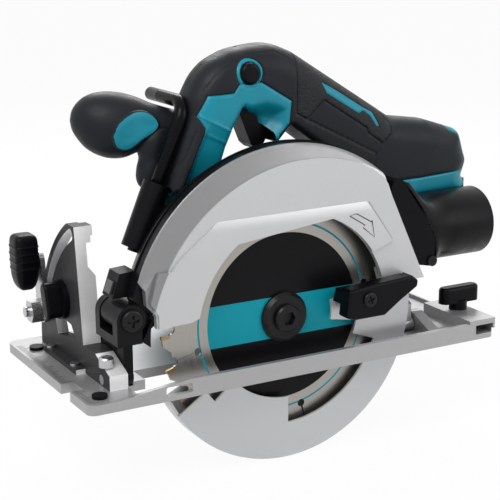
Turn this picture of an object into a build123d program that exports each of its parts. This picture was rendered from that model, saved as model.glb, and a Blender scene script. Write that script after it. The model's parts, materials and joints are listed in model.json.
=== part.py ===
"""Cordless circular saw, blade on the left, built as separate pieces in one frame.

Millimetres. X runs from the nose to the tail, Y from the blade side to the motor side, Z up.
The origin is under the spindle, in the plane of the blade, on the underside of the base.
"""
import math
import os

from build123d import *

os.makedirs("parts", exist_ok=True)

# Blade and arbor
blade_diameter = 165.0
blade_plate = 1.2
kerf = 1.6
tooth_count = 24
arbor_diameter = 20.0
flange_diameter = 31.0
spindle_diameter = 12.0
spindle_height = 32.0

# Lower guard
guard_wall = 1.5
guard_tip_gap = 5.4
guard_half_width = 6.5
guard_front_angle = 207.0
guard_rear_angle = 380.0
guard_hub_radius = 21.0

# Upper blade case and gear housing
case_face_y = -14.0
ring_drop = 0.8
plate_rise = 1.8
case_joint_y = -9.0
case_back_y = 9.0
back_plate = 3.5
case_skin = 2.5
case_rim = 11.0
case_gap = 3.6
window_radius = 66.0
window_crown = 57.8
window_slope = 0.116
rim_bead = 0.8
gearbox_depth = 23.5

# Motor
motor_radius = 38.0
motor_wall = 3.0
motor_length = 68.0
end_cover_length = 12.0
gear_teeth = 40
pinion_teeth = 10
gear_module = 1.0
motor_lean = 8.0

# Base
base_front_margin = 54.2
base_rear_margin = 66.5
base_left = -20.5
base_right = 113.0
base_thickness = 6.0
base_floor = 4.0
rail_height = 11.0
rail_thickness = 3.2

# Bevel pivot, quadrant and clamp
bevel_y = 8.0
bevel_z = 9.6
bevel_range = 48.0
bevel_pin_radius = 3.0
bevel_hub_radius = 5.6
clamp_y = 93.0
clamp_z = 30.0
clamp_bolt_radius = 3.3
quadrant_plate = 7.0
quadrant_foot = 11.4
quadrant_rim = 4.1
dial_radius = 12.0
lever_hub_radius = 8.0

# Depth pivot and depth guide
depth_pivot_gap = 23.5
depth_pivot_rise = 17.0
depth_range = 26.0
depth_pin_radius = 4.0
depth_clamp_x = 46.0
depth_clamp_rise = 18.0
depth_bolt_radius = 3.0
guide_thickness = 3.0
guide_half_width = 8.0

# Handle
handle_y = 30.0
handle_half_width = 17.5
handle_rise = 55.0
handle_corner = 12.0
handle_round = 15.0
opening_round = 4.0
lock_button_radius = 6.5

# Dust nozzle
nozzle_radius = 22.0
nozzle_wall = 3.0
nozzle_length = 66.0
nozzle_y = 10.0
nozzle_rise = 40.5

# Hook
hook_rod = 7.0
hook_sleeve_diameter = 16.5
hook_y = 21.0
hook_lean = 22.8
hook_arm = 50.0

# Battery slide
battery_width = 66.0
battery_rail_length = 63.0
battery_rail_depth = 6.0

# Clearances
running_fit = 0.05
sliding_gap = 0.3

# Sizes worked out from the ones above
blade_radius = blade_diameter / 2
guard_inner = blade_radius + guard_tip_gap
guard_outer = guard_inner + guard_wall
pocket_radius = guard_outer + case_gap
case_radius = pocket_radius + case_rim
case_x = -2.0
case_z = spindle_height + 4.0
case_top = case_z + case_radius
case_back = case_back_y + back_plate
gearbox_y = case_back + gearbox_depth
gear_distance = gear_module * (gear_teeth + pinion_teeth) / 2
motor_x = -motor_lean
motor_z = spindle_height + math.sqrt(gear_distance**2 - motor_lean**2)
motor_end_y = gearbox_y + motor_length
base_front = -(blade_radius + base_front_margin)
base_rear = blade_radius + base_rear_margin
depth_x = -(blade_radius + depth_pivot_gap)
depth_z = spindle_height + depth_pivot_rise
quadrant_front = depth_x - 11.0
quadrant_back = quadrant_front + quadrant_foot
arm_front = quadrant_back + 0.6
arm_back = arm_front + 6.0
clamp_radius = math.hypot(clamp_y - bevel_y, clamp_z - bevel_z)
clamp_angle = math.degrees(math.atan2(clamp_z - bevel_z, clamp_y - bevel_y))
rear_hub_front = guard_outer + 3.1
rear_hub_back = rear_hub_front + 8.0
depth_clamp_z = spindle_height + depth_clamp_rise
guide_radius = math.hypot(depth_clamp_x - depth_x, depth_clamp_z - depth_z)
guide_angle = math.degrees(math.atan2(depth_clamp_z - depth_z, depth_clamp_x - depth_x))
handle_left_y = handle_y - handle_half_width
handle_right_y = handle_y + handle_half_width
handle_top = case_top + handle_rise
guide_y = handle_right_y + 2.5
nozzle_z = spindle_height + nozzle_rise
hook_tilt = math.radians(hook_lean)
case_rear = case_x + case_radius


def side_plane(y):
    """Plane across Y at y, drawn in X and Z, whose extrusions run towards the blade side."""
    return Plane.XZ.offset(-y)


def front_plane(x):
    """Plane across X at x, drawn in Y and Z, whose extrusions run towards the tail."""
    return Plane.YZ.offset(x)


def disc(x, z, radius, y):
    with BuildSketch(side_plane(y)) as sketch:
        with Locations((x, z)):
            Circle(radius)
    return sketch.sketch


def front_disc(y, z, radius, x):
    with BuildSketch(front_plane(x)) as sketch:
        with Locations((y, z)):
            Circle(radius)
    return sketch.sketch


def top_disc(x, y, radius, z):
    with BuildSketch(Plane.XY.offset(z)) as sketch:
        with Locations((x, y)):
            Circle(radius)
    return sketch.sketch


def side_shape(points, y, corner=0):
    """Closed outline in X and Z on the plane at y, with rounded corners."""
    with BuildSketch(side_plane(y)) as sketch:
        with BuildLine():
            Polyline(*points, close=True)
        make_face()
        if corner:
            fillet(sketch.vertices(), corner)
    return sketch.sketch


def front_shape(points, x, corner=0):
    """Closed outline in Y and Z on the plane at x, with rounded corners."""
    with BuildSketch(front_plane(x)) as sketch:
        with BuildLine():
            Polyline(*points, close=True)
        make_face()
        if corner:
            fillet(sketch.vertices(), corner)
    return sketch.sketch


def sector(radius, start, end, y):
    """Slice of a disc about the spindle, angles in degrees from the tail upwards."""
    with BuildSketch(side_plane(y)) as sketch:
        with BuildLine():
            edge = CenterArc((0, spindle_height), radius, start, end - start)
            Line(edge @ 1, (0, spindle_height))
            Line((0, spindle_height), edge @ 0)
        make_face()
    return sketch.sketch


def polar(radius, angle, x=0.0, z=spindle_height):
    """Point at a radius and an angle about the spindle, or about another centre."""
    return (x + radius * math.cos(math.radians(angle)), z + radius * math.sin(math.radians(angle)))


def over(x, rise):
    """Point of a side view at x, so far above the crown of the blade case."""
    return (x, case_top + rise)


def behind(x, rise):
    """Point of a side view so far behind the blade case, and above its crown."""
    return (case_rear + x, case_top + rise)


def arc_slot(x, z, radius, half_width, start, size):
    """Band of a circle with round ends, on the plain XY plane."""
    first = polar(radius, start, x, z)
    last = polar(radius, start + size, x, z)
    with BuildSketch() as sketch:
        with BuildLine():
            CenterArc((x, z), radius + half_width, start, size)
            CenterArc(last, half_width, start + size, 180)
            CenterArc((x, z), radius - half_width, start, size)
            CenterArc(first, half_width, start + 180, 180)
        make_face()
    return sketch.sketch


# Blade: plate with gullets, expansion slots and seats for the tips
tooth_pitch = 360 / tooth_count
tip_radius = blade_radius
root_radius = blade_radius - 5.5
tip_length = 5.5
tip_width = 2.0


def tip_outline(angle):
    """Carbide tip on the leading face of the tooth at an angle."""
    turn = math.degrees(tip_width / tip_radius)
    return [
        polar(tip_radius - tip_length, angle),
        polar(tip_radius, angle),
        polar(tip_radius, angle + turn),
        polar(tip_radius - tip_length, angle + turn),
    ]


def tooth_outline(angle):
    """Tooth with a steep leading face and a long back."""
    return [
        polar(root_radius - 4, angle),
        polar(tip_radius - 0.3, angle),
        polar(tip_radius - 0.8, angle + 0.30 * tooth_pitch),
        polar(root_radius - 4, angle + 0.72 * tooth_pitch),
    ]


tooth_angles = [tooth_pitch * index for index in range(tooth_count)]

with BuildPart() as blade:
    extrude(disc(0, spindle_height, root_radius, blade_plate / 2), amount=blade_plate)
    for angle in tooth_angles:
        extrude(side_shape(tooth_outline(angle), blade_plate / 2), amount=blade_plate)
    for angle in tooth_angles:
        gullet = polar(root_radius - 0.5, angle - 2.6)
        extrude(disc(*gullet, 2.8, blade_plate / 2), amount=blade_plate, mode=Mode.SUBTRACT)
        extrude(side_shape(tip_outline(angle), blade_plate), amount=2 * blade_plate, mode=Mode.SUBTRACT)
    for angle in tooth_angles[1 :: tooth_count // 4]:
        hole = polar(root_radius - 17, angle - 2.6)
        mouth = polar(root_radius - 1, angle - 2.6)
        extrude(disc(*hole, 2.4, blade_plate), amount=2 * blade_plate, mode=Mode.SUBTRACT)
        slot = [(hole[0] - 0.5, hole[1]), (mouth[0] - 0.5, mouth[1]), (mouth[0] + 0.5, mouth[1] + 0.5),
                (hole[0] + 0.5, hole[1] + 0.5)]
        extrude(side_shape(slot, blade_plate), amount=2 * blade_plate, mode=Mode.SUBTRACT)
    extrude(disc(0, spindle_height, arbor_diameter / 2, blade_plate), amount=2 * blade_plate,
            mode=Mode.SUBTRACT)
blade.part.label = "blade"

with BuildPart() as carbide_tips:
    for angle in tooth_angles:
        extrude(side_shape(tip_outline(angle), kerf / 2), amount=kerf)
carbide_tips.part.label = "carbide_tips"

# Arbor parts along the spindle
flange_radius = flange_diameter / 2
spindle_radius = spindle_diameter / 2
arbor_radius = arbor_diameter / 2
inner_flange_y = 4.4
outer_flange_y = -4.4
bolt_head_y = -7.5
bolt_radius = 4.0
spindle_end_y = gearbox_y - 3.0
bearing_front_y = 5.2
bearing_width = 8.0
bearing_radius = 16.0

with BuildPart() as inner_flange:
    extrude(disc(0, spindle_height, flange_radius, inner_flange_y), amount=inner_flange_y - blade_plate / 2)
    extrude(disc(0, spindle_height, arbor_radius, blade_plate / 2), amount=blade_plate)
    extrude(disc(0, spindle_height, spindle_radius, inner_flange_y), amount=2 * inner_flange_y,
            mode=Mode.SUBTRACT)
inner_flange.part.label = "inner_flange"

with BuildPart() as outer_flange:
    extrude(disc(0, spindle_height, flange_radius, -blade_plate / 2),
            amount=-blade_plate / 2 - outer_flange_y)
    rim = outer_flange.edges().filter_by(GeomType.CIRCLE).group_by(Axis.Y)[0]
    chamfer(rim, 2.0)
    extrude(disc(0, spindle_height, bolt_radius, 0), amount=-outer_flange_y, mode=Mode.SUBTRACT)
outer_flange.part.label = "outer_flange"

with BuildPart() as blade_bolt:
    extrude(disc(0, spindle_height, 8.6, outer_flange_y), amount=outer_flange_y - bolt_head_y)
    chamfer(blade_bolt.edges().group_by(Axis.Y)[0], 1.0)
    with BuildSketch(side_plane(bolt_head_y + 2.8)):
        with Locations((0, spindle_height)):
            RegularPolygon(radius=4.6, side_count=6)
    extrude(amount=4, mode=Mode.SUBTRACT)
    extrude(disc(0, spindle_height, bolt_radius, 14), amount=14 - outer_flange_y)
blade_bolt.part.label = "blade_bolt"

with BuildPart() as spindle:
    extrude(disc(0, spindle_height, spindle_radius, spindle_end_y), amount=spindle_end_y + blade_plate / 2)
    extrude(disc(0, spindle_height, 9.5, bearing_front_y), amount=bearing_front_y - inner_flange_y)
    extrude(disc(0, spindle_height, bolt_radius, 14), amount=20, mode=Mode.SUBTRACT)
spindle.part.label = "spindle"


def gear_outline(x, z, teeth, phase):
    """Outline points of a spur gear with slim straight-sided teeth."""
    pitch = gear_module * teeth / 2
    step = 360 / teeth
    points = []
    for index in range(teeth):
        middle = phase + index * step
        points.append(polar(pitch - 1.05 * gear_module, middle - 0.30 * step, x, z))
        points.append(polar(pitch + 0.75 * gear_module, middle - 0.09 * step, x, z))
        points.append(polar(pitch + 0.75 * gear_module, middle + 0.09 * step, x, z))
        points.append(polar(pitch - 1.05 * gear_module, middle + 0.30 * step, x, z))
    return points


mesh_angle = math.degrees(math.atan2(motor_z - spindle_height, motor_x))
gear_front_y = bearing_front_y + bearing_width + 1.6
gear_width = 9.0

with BuildPart() as drive_gear:
    teeth = gear_outline(0, spindle_height, gear_teeth, mesh_angle)
    extrude(side_shape(teeth, gear_front_y + gear_width), amount=gear_width)
    extrude(disc(0, spindle_height, spindle_radius, gear_front_y + gear_width), amount=gear_width,
            mode=Mode.SUBTRACT)
drive_gear.part.label = "drive_gear"

# Rotor with its pinion, and the fan
shaft_radius = 4.0
core_front = gearbox_y + 14.0
core_length = 32.0
core_radius = 16.0
rotor_end_y = motor_end_y + 6.0

with BuildPart() as rotor:
    extrude(disc(motor_x, motor_z, shaft_radius, rotor_end_y),
            amount=rotor_end_y - gear_front_y - gear_width)
    pinion = gear_outline(motor_x, motor_z, pinion_teeth, mesh_angle + 180 + 180 / pinion_teeth)
    extrude(side_shape(pinion, gear_front_y + gear_width), amount=gear_width)
    extrude(disc(motor_x, motor_z, core_radius, core_front + core_length), amount=core_length)
rotor.part.label = "rotor"

fan_y = core_front + core_length + 8.0
fan_radius = 30.0
with BuildPart() as fan:
    extrude(disc(motor_x, motor_z, fan_radius, fan_y + 2), amount=2)
    extrude(disc(motor_x, motor_z, 8, fan_y + 8), amount=8)
    for index in range(12):
        inner = polar(9, 30 * index, motor_x, motor_z)
        outer = polar(fan_radius - 1, 30 * index + 14, motor_x, motor_z)
        vane = [inner, outer, (outer[0] + 1.2, outer[1] + 0.8), (inner[0] + 1.2, inner[1] + 0.8)]
        extrude(side_shape(vane, fan_y + 8), amount=6.5)
    extrude(disc(motor_x, motor_z, shaft_radius, fan_y + 8), amount=8, mode=Mode.SUBTRACT)
fan.part.label = "cooling_fan"

with BuildPart() as stator:
    extrude(disc(motor_x, motor_z, motor_radius - motor_wall, core_front + core_length), amount=core_length)
    extrude(disc(motor_x, motor_z, core_radius + 0.6, core_front + core_length), amount=core_length,
            mode=Mode.SUBTRACT)
    for index in range(6):
        slot = polar(core_radius + 9, 60 * index, motor_x, motor_z)
        extrude(disc(*slot, 4.5, core_front + core_length), amount=core_length, mode=Mode.SUBTRACT)
stator.part.label = "stator"

spindle_rear_bearing_y = gearbox_y - 9.0
motor_front_bearing_y = gearbox_y - 8.0
with BuildPart() as bearings:
    extrude(disc(0, spindle_height, bearing_radius, bearing_front_y + bearing_width), amount=bearing_width)
    extrude(disc(0, spindle_height, 11, spindle_end_y), amount=spindle_end_y - spindle_rear_bearing_y)
    extrude(disc(motor_x, motor_z, 9.5, gearbox_y), amount=gearbox_y - motor_front_bearing_y)
    extrude(disc(motor_x, motor_z, 9.5, rotor_end_y), amount=6)
    for x, z, radius in ((0, spindle_height, spindle_radius), (motor_x, motor_z, shaft_radius)):
        extrude(disc(x, z, radius + running_fit, rotor_end_y), amount=rotor_end_y, mode=Mode.SUBTRACT)
bearings.part.label = "ball_bearings"

# Lower guard: rim, two cheeks and the hub ring
ear_radius = 50.0
cheek_inner = guard_inner - 20.9
with BuildPart() as lower_guard:
    extrude(sector(guard_outer, guard_front_angle, guard_rear_angle, guard_half_width),
            amount=2 * guard_half_width)
    inside = 2 * (guard_half_width - guard_wall)
    extrude(disc(0, spindle_height, guard_inner, guard_half_width - guard_wall), amount=inside,
            mode=Mode.SUBTRACT)
    left_wall = -guard_half_width + guard_wall
    extrude(disc(0, spindle_height, cheek_inner, left_wall), amount=guard_wall, mode=Mode.SUBTRACT)
    extrude(sector(guard_outer, guard_front_angle - 1, guard_front_angle + 6, left_wall), amount=guard_wall,
            mode=Mode.SUBTRACT)
    extrude(sector(guard_inner, guard_front_angle + 14, 270, left_wall), amount=guard_wall)
    extrude(sector(guard_inner, 340, 366, left_wall), amount=guard_wall)
    extrude(disc(0, spindle_height, ear_radius, left_wall), amount=guard_wall, mode=Mode.SUBTRACT)
    extrude(sector(ear_radius + 1, 350, 373, left_wall), amount=guard_wall)
    extrude(disc(0, spindle_height, 31, left_wall), amount=guard_wall, mode=Mode.SUBTRACT)
    extrude(disc(0, spindle_height, guard_hub_radius + 10, guard_half_width), amount=guard_wall)
    extrude(disc(0, spindle_height, guard_hub_radius, guard_half_width), amount=guard_wall,
            mode=Mode.SUBTRACT)
lower_guard.part.label = "lower_guard"

lever_root_y = -16.5
lever_face_y = -26.0
finger = [(30, 32), (36, 30), (58, 30), (70, 38), (82, 45), (82.5, 49), (78, 52.5), (54, 51), (32, 49)]
root = [(32, 38.5), (54, 38.5), (53, 46.5), (34, 46.5)]
lever_screw = (46, 42)
lever_screw_radius = 2.5
with BuildPart() as guard_lever:
    extrude(side_shape(finger, lever_root_y, 1.8), amount=lever_root_y - lever_face_y)
    fillet(guard_lever.faces().sort_by(Axis.Y)[0].edges(), 1.6)
    extrude(side_shape(root, -guard_half_width), amount=-guard_half_width - lever_root_y)
    extrude(disc(*lever_screw, lever_screw_radius, -guard_half_width), amount=30, mode=Mode.SUBTRACT)
    for index in range(4):
        rib = (70 + 3 * index, 53)
        extrude(disc(*rib, 1.0, lever_root_y), amount=12, mode=Mode.SUBTRACT)
guard_lever.part.label = "guard_lever"

with BuildPart() as guard_lever_screw:
    extrude(disc(*lever_screw, lever_screw_radius, -guard_half_width),
            amount=-guard_half_width - lever_face_y)
    extrude(disc(*lever_screw, 4.6, lever_face_y), amount=1.8)
    fillet(guard_lever_screw.edges().group_by(Axis.Y)[0], 1.2)
    with BuildSketch(side_plane(lever_face_y - 0.8)):
        with Locations(lever_screw):
            Rectangle(5, 1.0, rotation=20)
            Rectangle(1.0, 5, rotation=20)
    extrude(amount=2, mode=Mode.SUBTRACT)
guard_lever_screw.part.label = "guard_lever_screw"

# Outline shared by the blade case and the gear housing rim
nozzle_cut = [(case_rear - 6.6, spindle_height + 14.2), behind(-32.6, -38), behind(-38, -24)]
case_sill = [(-4 - window_radius, spindle_height + 11), (2 - window_radius, spindle_height + 13)]
housing_foot = [(depth_x + 15, depth_z - 1), (depth_x + 8, depth_z - 15), (depth_x + 13, depth_z - 19)]
case_foot = [(depth_x + 8.5, depth_z + 16), (depth_x + 9, depth_z + 7), (depth_x + 14.5, depth_z + 1),
             (depth_x + 14.7, depth_z - 7)]


def case_profile(foot, inset=0.0):
    """Side outline of the upper guard: round over the top, cut back at the nozzle and at the pivot."""
    with BuildSketch() as sketch:
        with Locations((case_x, case_z)):
            Circle(case_radius - inset)
        with BuildLine():
            Polyline(
                (-2 * case_radius, 3 * case_radius), (-2 * case_radius, foot[0][1] + 14),
                (case_x - case_radius, foot[0][1] + 14), *foot, *case_sill, *nozzle_cut,
                (nozzle_cut[-1][0], 3 * case_radius), close=True,
            )
        make_face(mode=Mode.INTERSECT)
    return sketch.sketch


def case_outline(y, foot, inset=0.0):
    with BuildSketch(side_plane(y)) as sketch:
        add(case_profile(foot, inset))
    return sketch.sketch


def case_window(y):
    """Round window over the arbor, with a straight crown under the raised band."""
    reach = 2 * window_radius
    with BuildSketch(side_plane(y)) as sketch:
        with Locations((0, spindle_height)):
            Circle(window_radius)
        with BuildLine():
            crown = spindle_height + window_crown
            Polyline((-reach, -reach), (reach, -reach), (reach, crown + window_slope * reach),
                     (-reach, crown - window_slope * reach), close=True)
        make_face(mode=Mode.INTERSECT)
    return sketch.sketch


ring_y = case_face_y + ring_drop
plate_y = case_face_y - plate_rise
field_shift = 12.5
field_radius = case_radius + 3
plate_outline = [(depth_x + 10.5, depth_z + 8.5), (depth_x + 15.5, depth_z + 26),
                 (depth_x + 24.5, depth_z + 25.4), (depth_x + 28.2, depth_z + 30.5),
                 (-51.8, case_top - 40.4), (50.6, case_top - 39.7), (69.5, case_top - 66.1),
                 (56.8, case_top - 70.5), (0, spindle_height + 20), *reversed(case_sill),
                 (depth_x + 15.5, depth_z - 6.8), (depth_x + 15.5, depth_z + 1)]
with BuildPart() as blade_case:
    extrude(case_outline(case_joint_y, case_foot), amount=case_joint_y - ring_y)
    fillet(blade_case.faces().sort_by(Axis.Y)[0].edges().filter_by(GeomType.CIRCLE), 2.4)
    with BuildSketch(side_plane(case_joint_y)):
        add(case_profile(case_foot, 3.5))
        with Locations((case_x + field_shift, case_z - field_shift)):
            Circle(field_radius, mode=Mode.INTERSECT)
    extrude(amount=case_joint_y - case_face_y)
    with BuildSketch(side_plane(case_joint_y)):
        with BuildLine():
            Polyline(*plate_outline, close=True)
        make_face()
    extrude(amount=case_joint_y - plate_y)
    plate_face = blade_case.faces().sort_by(Axis.Y)[0]
    top_edge = plate_face.edges().sort_by(Axis.Z)[-1]
    chamfer(top_edge, 6, plate_rise - 0.1, reference=plate_face)
    extrude(disc(0, spindle_height, pocket_radius, case_joint_y), amount=case_joint_y - ring_y - case_skin,
            mode=Mode.SUBTRACT)
    extrude(case_window(case_joint_y), amount=20, mode=Mode.SUBTRACT)
blade_case.part.label = "blade_case"

lock_y = gear_front_y + gear_width / 2
lock_radius = 2.5
lock_travel = 3.0
gear_tip = gear_module * gear_teeth / 2 + 0.75 * gear_module
lug_left = -5.7
lug_right = 12.2
lug_radius = 8.5
hub_boss_y = 4.7
gearbox_radius = 24.0
with BuildPart() as gear_housing:
    extrude(case_outline(case_back, housing_foot), amount=case_back - case_joint_y)
    extrude(case_outline(-1.6, housing_foot, -rim_bead), amount=1.2)
    with BuildSketch(side_plane(lug_right)):
        with Locations((depth_x, depth_z)):
            Circle(lug_radius)
        with Locations((depth_x + 22, depth_z + 4)):
            Circle(lug_radius)
        make_hull()
    extrude(amount=lug_right - lug_left)
    extrude(disc(0, spindle_height, pocket_radius, case_back_y), amount=case_back_y - case_joint_y,
            mode=Mode.SUBTRACT)
    with BuildSketch(side_plane(gearbox_y)):
        with Locations((0, spindle_height)):
            Circle(gearbox_radius)
        with Locations((motor_x, motor_z)):
            Circle(motor_radius - 6)
        make_hull()
    extrude(amount=gearbox_y - case_back_y)
    extrude(disc(motor_x, motor_z, motor_radius, gearbox_y), amount=6)
    hub_length = case_back_y - hub_boss_y
    extrude(disc(0, spindle_height, guard_hub_radius - running_fit, case_back_y), amount=hub_length)
    extrude(disc(depth_x, depth_z, depth_pin_radius + running_fit, lug_right), amount=30,
            mode=Mode.SUBTRACT)
    extrude(disc(0, spindle_height, bearing_radius, bearing_front_y + bearing_width), amount=30,
            mode=Mode.SUBTRACT)
    gear_room = gear_module * gear_teeth / 2 + 1.6
    gear_back = gear_front_y + gear_width + 0.6
    extrude(disc(0, spindle_height, gear_room, gear_back), amount=gear_width + 1.4, mode=Mode.SUBTRACT)
    extrude(disc(motor_x, motor_z, gear_module * pinion_teeth / 2 + 1.6, gear_back),
            amount=gear_width + 1.4,
            mode=Mode.SUBTRACT)
    extrude(disc(0, spindle_height, spindle_radius + 1, spindle_end_y), amount=20, mode=Mode.SUBTRACT)
    extrude(disc(0, spindle_height, 11, gearbox_y), amount=gearbox_y - spindle_rear_bearing_y,
            mode=Mode.SUBTRACT)
    extrude(disc(motor_x, motor_z, 9.5, gearbox_y), amount=gearbox_y - motor_front_bearing_y,
            mode=Mode.SUBTRACT)
    extrude(disc(motor_x, motor_z, shaft_radius + 1, gearbox_y), amount=gearbox_y - gear_back + 1,
            mode=Mode.SUBTRACT)
    extrude(front_disc(lock_y, spindle_height, lock_radius + running_fit, -60), amount=45,
            mode=Mode.SUBTRACT)
gear_housing.part.label = "gear_housing"

with BuildPart() as guard_spring:
    extrude(disc(0, spindle_height, guard_hub_radius + 3.6, case_back_y), amount=1.9)
    extrude(disc(0, spindle_height, guard_hub_radius + 1.4, case_back_y), amount=1.9, mode=Mode.SUBTRACT)
guard_spring.part.label = "guard_spring"

# Motor housing and end cover
with BuildPart() as motor_housing:
    extrude(disc(motor_x, motor_z, motor_radius, motor_end_y), amount=motor_length)
    extrude(disc(motor_x, motor_z, motor_radius - motor_wall, motor_end_y), amount=motor_length,
            mode=Mode.SUBTRACT)
    fan_slot_y = fan_y + 4
    for index in range(5):
        angle = math.radians(205 + 26 * index)
        slot_plane = Plane(
            origin=(motor_x + motor_radius * math.cos(angle), fan_slot_y,
                    motor_z + motor_radius * math.sin(angle)),
            x_dir=(0, 1, 0), z_dir=(math.cos(angle), 0, math.sin(angle)),
        )
        with BuildSketch(slot_plane):
            RectangleRounded(14, 5, 2)
        extrude(amount=-2 * motor_wall, mode=Mode.SUBTRACT)
motor_housing.part.label = "motor_housing"

with BuildPart() as motor_end_cover:
    extrude(disc(motor_x, motor_z, motor_radius, motor_end_y + end_cover_length), amount=end_cover_length)
    fillet(motor_end_cover.edges().group_by(Axis.Y)[-1], 7)
    extrude(disc(motor_x, motor_z, motor_radius - 8, motor_end_y), amount=-3, mode=Mode.SUBTRACT)
    extrude(disc(motor_x, motor_z, 9.5, rotor_end_y), amount=10, mode=Mode.SUBTRACT)
    with BuildSketch(side_plane(motor_end_y + end_cover_length)):
        with Locations(*[(motor_x, motor_z + 6 * row) for row in (-3, -2, 2, 3)]):
            SlotOverall(34, 3)
    extrude(amount=end_cover_length, mode=Mode.SUBTRACT)
motor_end_cover.part.label = "motor_end_cover"

# Handle: one closed loop drawn from the side, split into two shells, then into hard shell and soft grip
back_line = [over(10, handle_rise - 0.4), behind(-9, 3.6)]
tail_line = [behind(18.5, -1.2), behind(45, -10.2), behind(52.5, -30), behind(46, -46.5), behind(-5, -45)]
lower_line = [(case_rear - 10, motor_z + 16.3), (depth_clamp_x + 18, motor_z + 6.3),
              (depth_clamp_x + 15, depth_clamp_z - 13), (depth_clamp_x - 14, depth_clamp_z - 13),
              (depth_clamp_x - 16, motor_z + 22.3), (depth_clamp_x - 26, motor_z + 32.3)]
leg_front = [over(-66, -52), over(-68, -26), over(-55, 6.5), over(-52, 15)]
opening_low = [over(-40, -30), over(-34, -13.5), over(-27, 7), over(-18, 20), over(-6, 12),
               over(1, 0), over(8, -0.6)]
opening_high = [over(13.5, 6), over(34, -8), over(60, -26), over(52, -32), over(-36, -36)]
lock_button = over(-14.6, handle_rise - 16)
switch_box = [over(-2, 22), over(22, 22), over(22, 38), over(-2, 38)]
trigger_pivot = over(-13, 23)
trigger_pin_radius = 2.0
trigger_room = [over(-20, 29), over(-5, 29), over(-4, 21), over(12, 19.5), over(12.5, 7),
                over(7.5, -2), over(0, -12),
                over(-12, -12), over(-20, 10)]


def hand_opening():
    with BuildSketch() as sketch:
        with BuildLine():
            Polyline(*opening_low, *opening_high, close=True)
        make_face()
        fillet(sketch.vertices(), 2.5)
    return sketch.sketch


def handle_loop(y):
    with BuildSketch(side_plane(y)) as sketch:
        with BuildLine():
            arch = Spline(over(-48.6, 22.5), over(-40.5, 38), over(-22, 50.6), over(4, handle_rise),
                          tangents=((0, 1), (1, 0.06)))
            Polyline(arch @ 1, *back_line, *tail_line, *lower_line, *leg_front, arch @ 0)
        make_face()
        fillet(sketch.vertices(), handle_corner)
        add(hand_opening(), mode=Mode.SUBTRACT)
    return sketch.sketch


def hard_shell_zone(y):
    """The part of the side view that is hard shell: front leg, lower bar and the edge of the tail."""
    with BuildSketch(side_plane(y)) as sketch:
        with BuildLine():
            Polyline(
                (-61, motor_z - 60), over(-61, -31), over(-59.3, -25.5), over(-44.8, 6), over(-49.2, 14),
                over(-41.9, 27.2), over(-26, 29.5), over(-6, 32), over(13.5, 20),
                over(13.5, 0), over(40, -28),
                over(66, -40), behind(-7, -34.5), behind(39.5, -36), behind(47.5, -29), behind(39.5, -8.5),
                behind(60, -8.5), (case_rear + 60, motor_z - 60), close=True,
            )
        make_face()
        with Locations(lock_button):
            Circle(lock_button_radius + 2)
    return sketch.sketch


def handle_shell(outer_y, inner_y, hard):
    """One half of the handle loop between two planes, either its hard shell or its soft grip."""
    near = min(outer_y, inner_y)
    far = max(outer_y, inner_y)
    with BuildPart() as shell:
        extrude(handle_loop(far), amount=far - near)
        outer_face = shell.faces().filter_by(Axis.Y).sort_by(Axis.Y)[0 if outer_y < inner_y else -1]
        fillet(outer_face.outer_wire().edges(), handle_round)
        outer_face = shell.faces().filter_by(Axis.Y).sort_by(Axis.Y)[0 if outer_y < inner_y else -1]
        fillet(outer_face.inner_wires()[0].edges(), opening_round)
        room = handle_half_width / 2
        extrude(side_shape(trigger_room, handle_y + room), amount=2 * room, mode=Mode.SUBTRACT)
        extrude(side_shape(switch_box, handle_y + room), amount=2 * room, mode=Mode.SUBTRACT)
        extrude(disc(*trigger_pivot, trigger_pin_radius + running_fit, handle_y + room + 2),
                amount=2 * room + 4,
                mode=Mode.SUBTRACT)
        extrude(disc(depth_clamp_x, depth_clamp_z, depth_bolt_radius, handle_right_y + 1), amount=12,
                mode=Mode.SUBTRACT)
        extrude(disc(*lock_button, lock_button_radius + sliding_gap, handle_y), amount=40,
                mode=Mode.SUBTRACT)
        extrude(disc(motor_x, motor_z, motor_radius, motor_end_y), amount=motor_length + 6,
                mode=Mode.SUBTRACT)
        zone = extrude(hard_shell_zone(far + 1), amount=far - near + 2, mode=Mode.PRIVATE)
        add(zone, mode=Mode.INTERSECT if hard else Mode.SUBTRACT)
    return shell


handle_left = handle_shell(handle_left_y, handle_y, hard=True)
handle_left.part.label = "handle_left"
handle_right = handle_shell(handle_right_y, handle_y, hard=True)
handle_right.part.label = "handle_right"
grip_left = handle_shell(handle_left_y, handle_y, hard=False)
grip_left.part.label = "grip_left"
grip_right = handle_shell(handle_right_y, handle_y, hard=False)
grip_right.part.label = "grip_right"


with BuildPart() as trigger:
    outline = [over(-17, 26), over(-10, 26), over(-6, 20), over(6, 12.5), over(7, 9), over(3, 1),
               over(-1, -6),
               over(-5, -8.5), over(-9, -5), over(-13.5, 6), over(-17.5, 16)]
    half = handle_half_width / 2 - 1
    extrude(side_shape(outline, handle_y + half, 1.2), amount=2 * half)
    extrude(disc(*trigger_pivot, trigger_pin_radius, handle_y + half + 2.4), amount=2 * half + 4.8)
trigger.part.label = "trigger"

with BuildPart() as switch_unit:
    room = handle_half_width / 2
    extrude(side_shape(switch_box, handle_y + room), amount=2 * room)
switch_unit.part.label = "switch_unit"

with BuildPart() as lock_off_button:
    extrude(disc(*lock_button, lock_button_radius, handle_y - 6), amount=13.5)
    fillet(lock_off_button.edges().group_by(Axis.Y)[0], 2.5)
lock_off_button.part.label = "lock_off_button"

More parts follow.
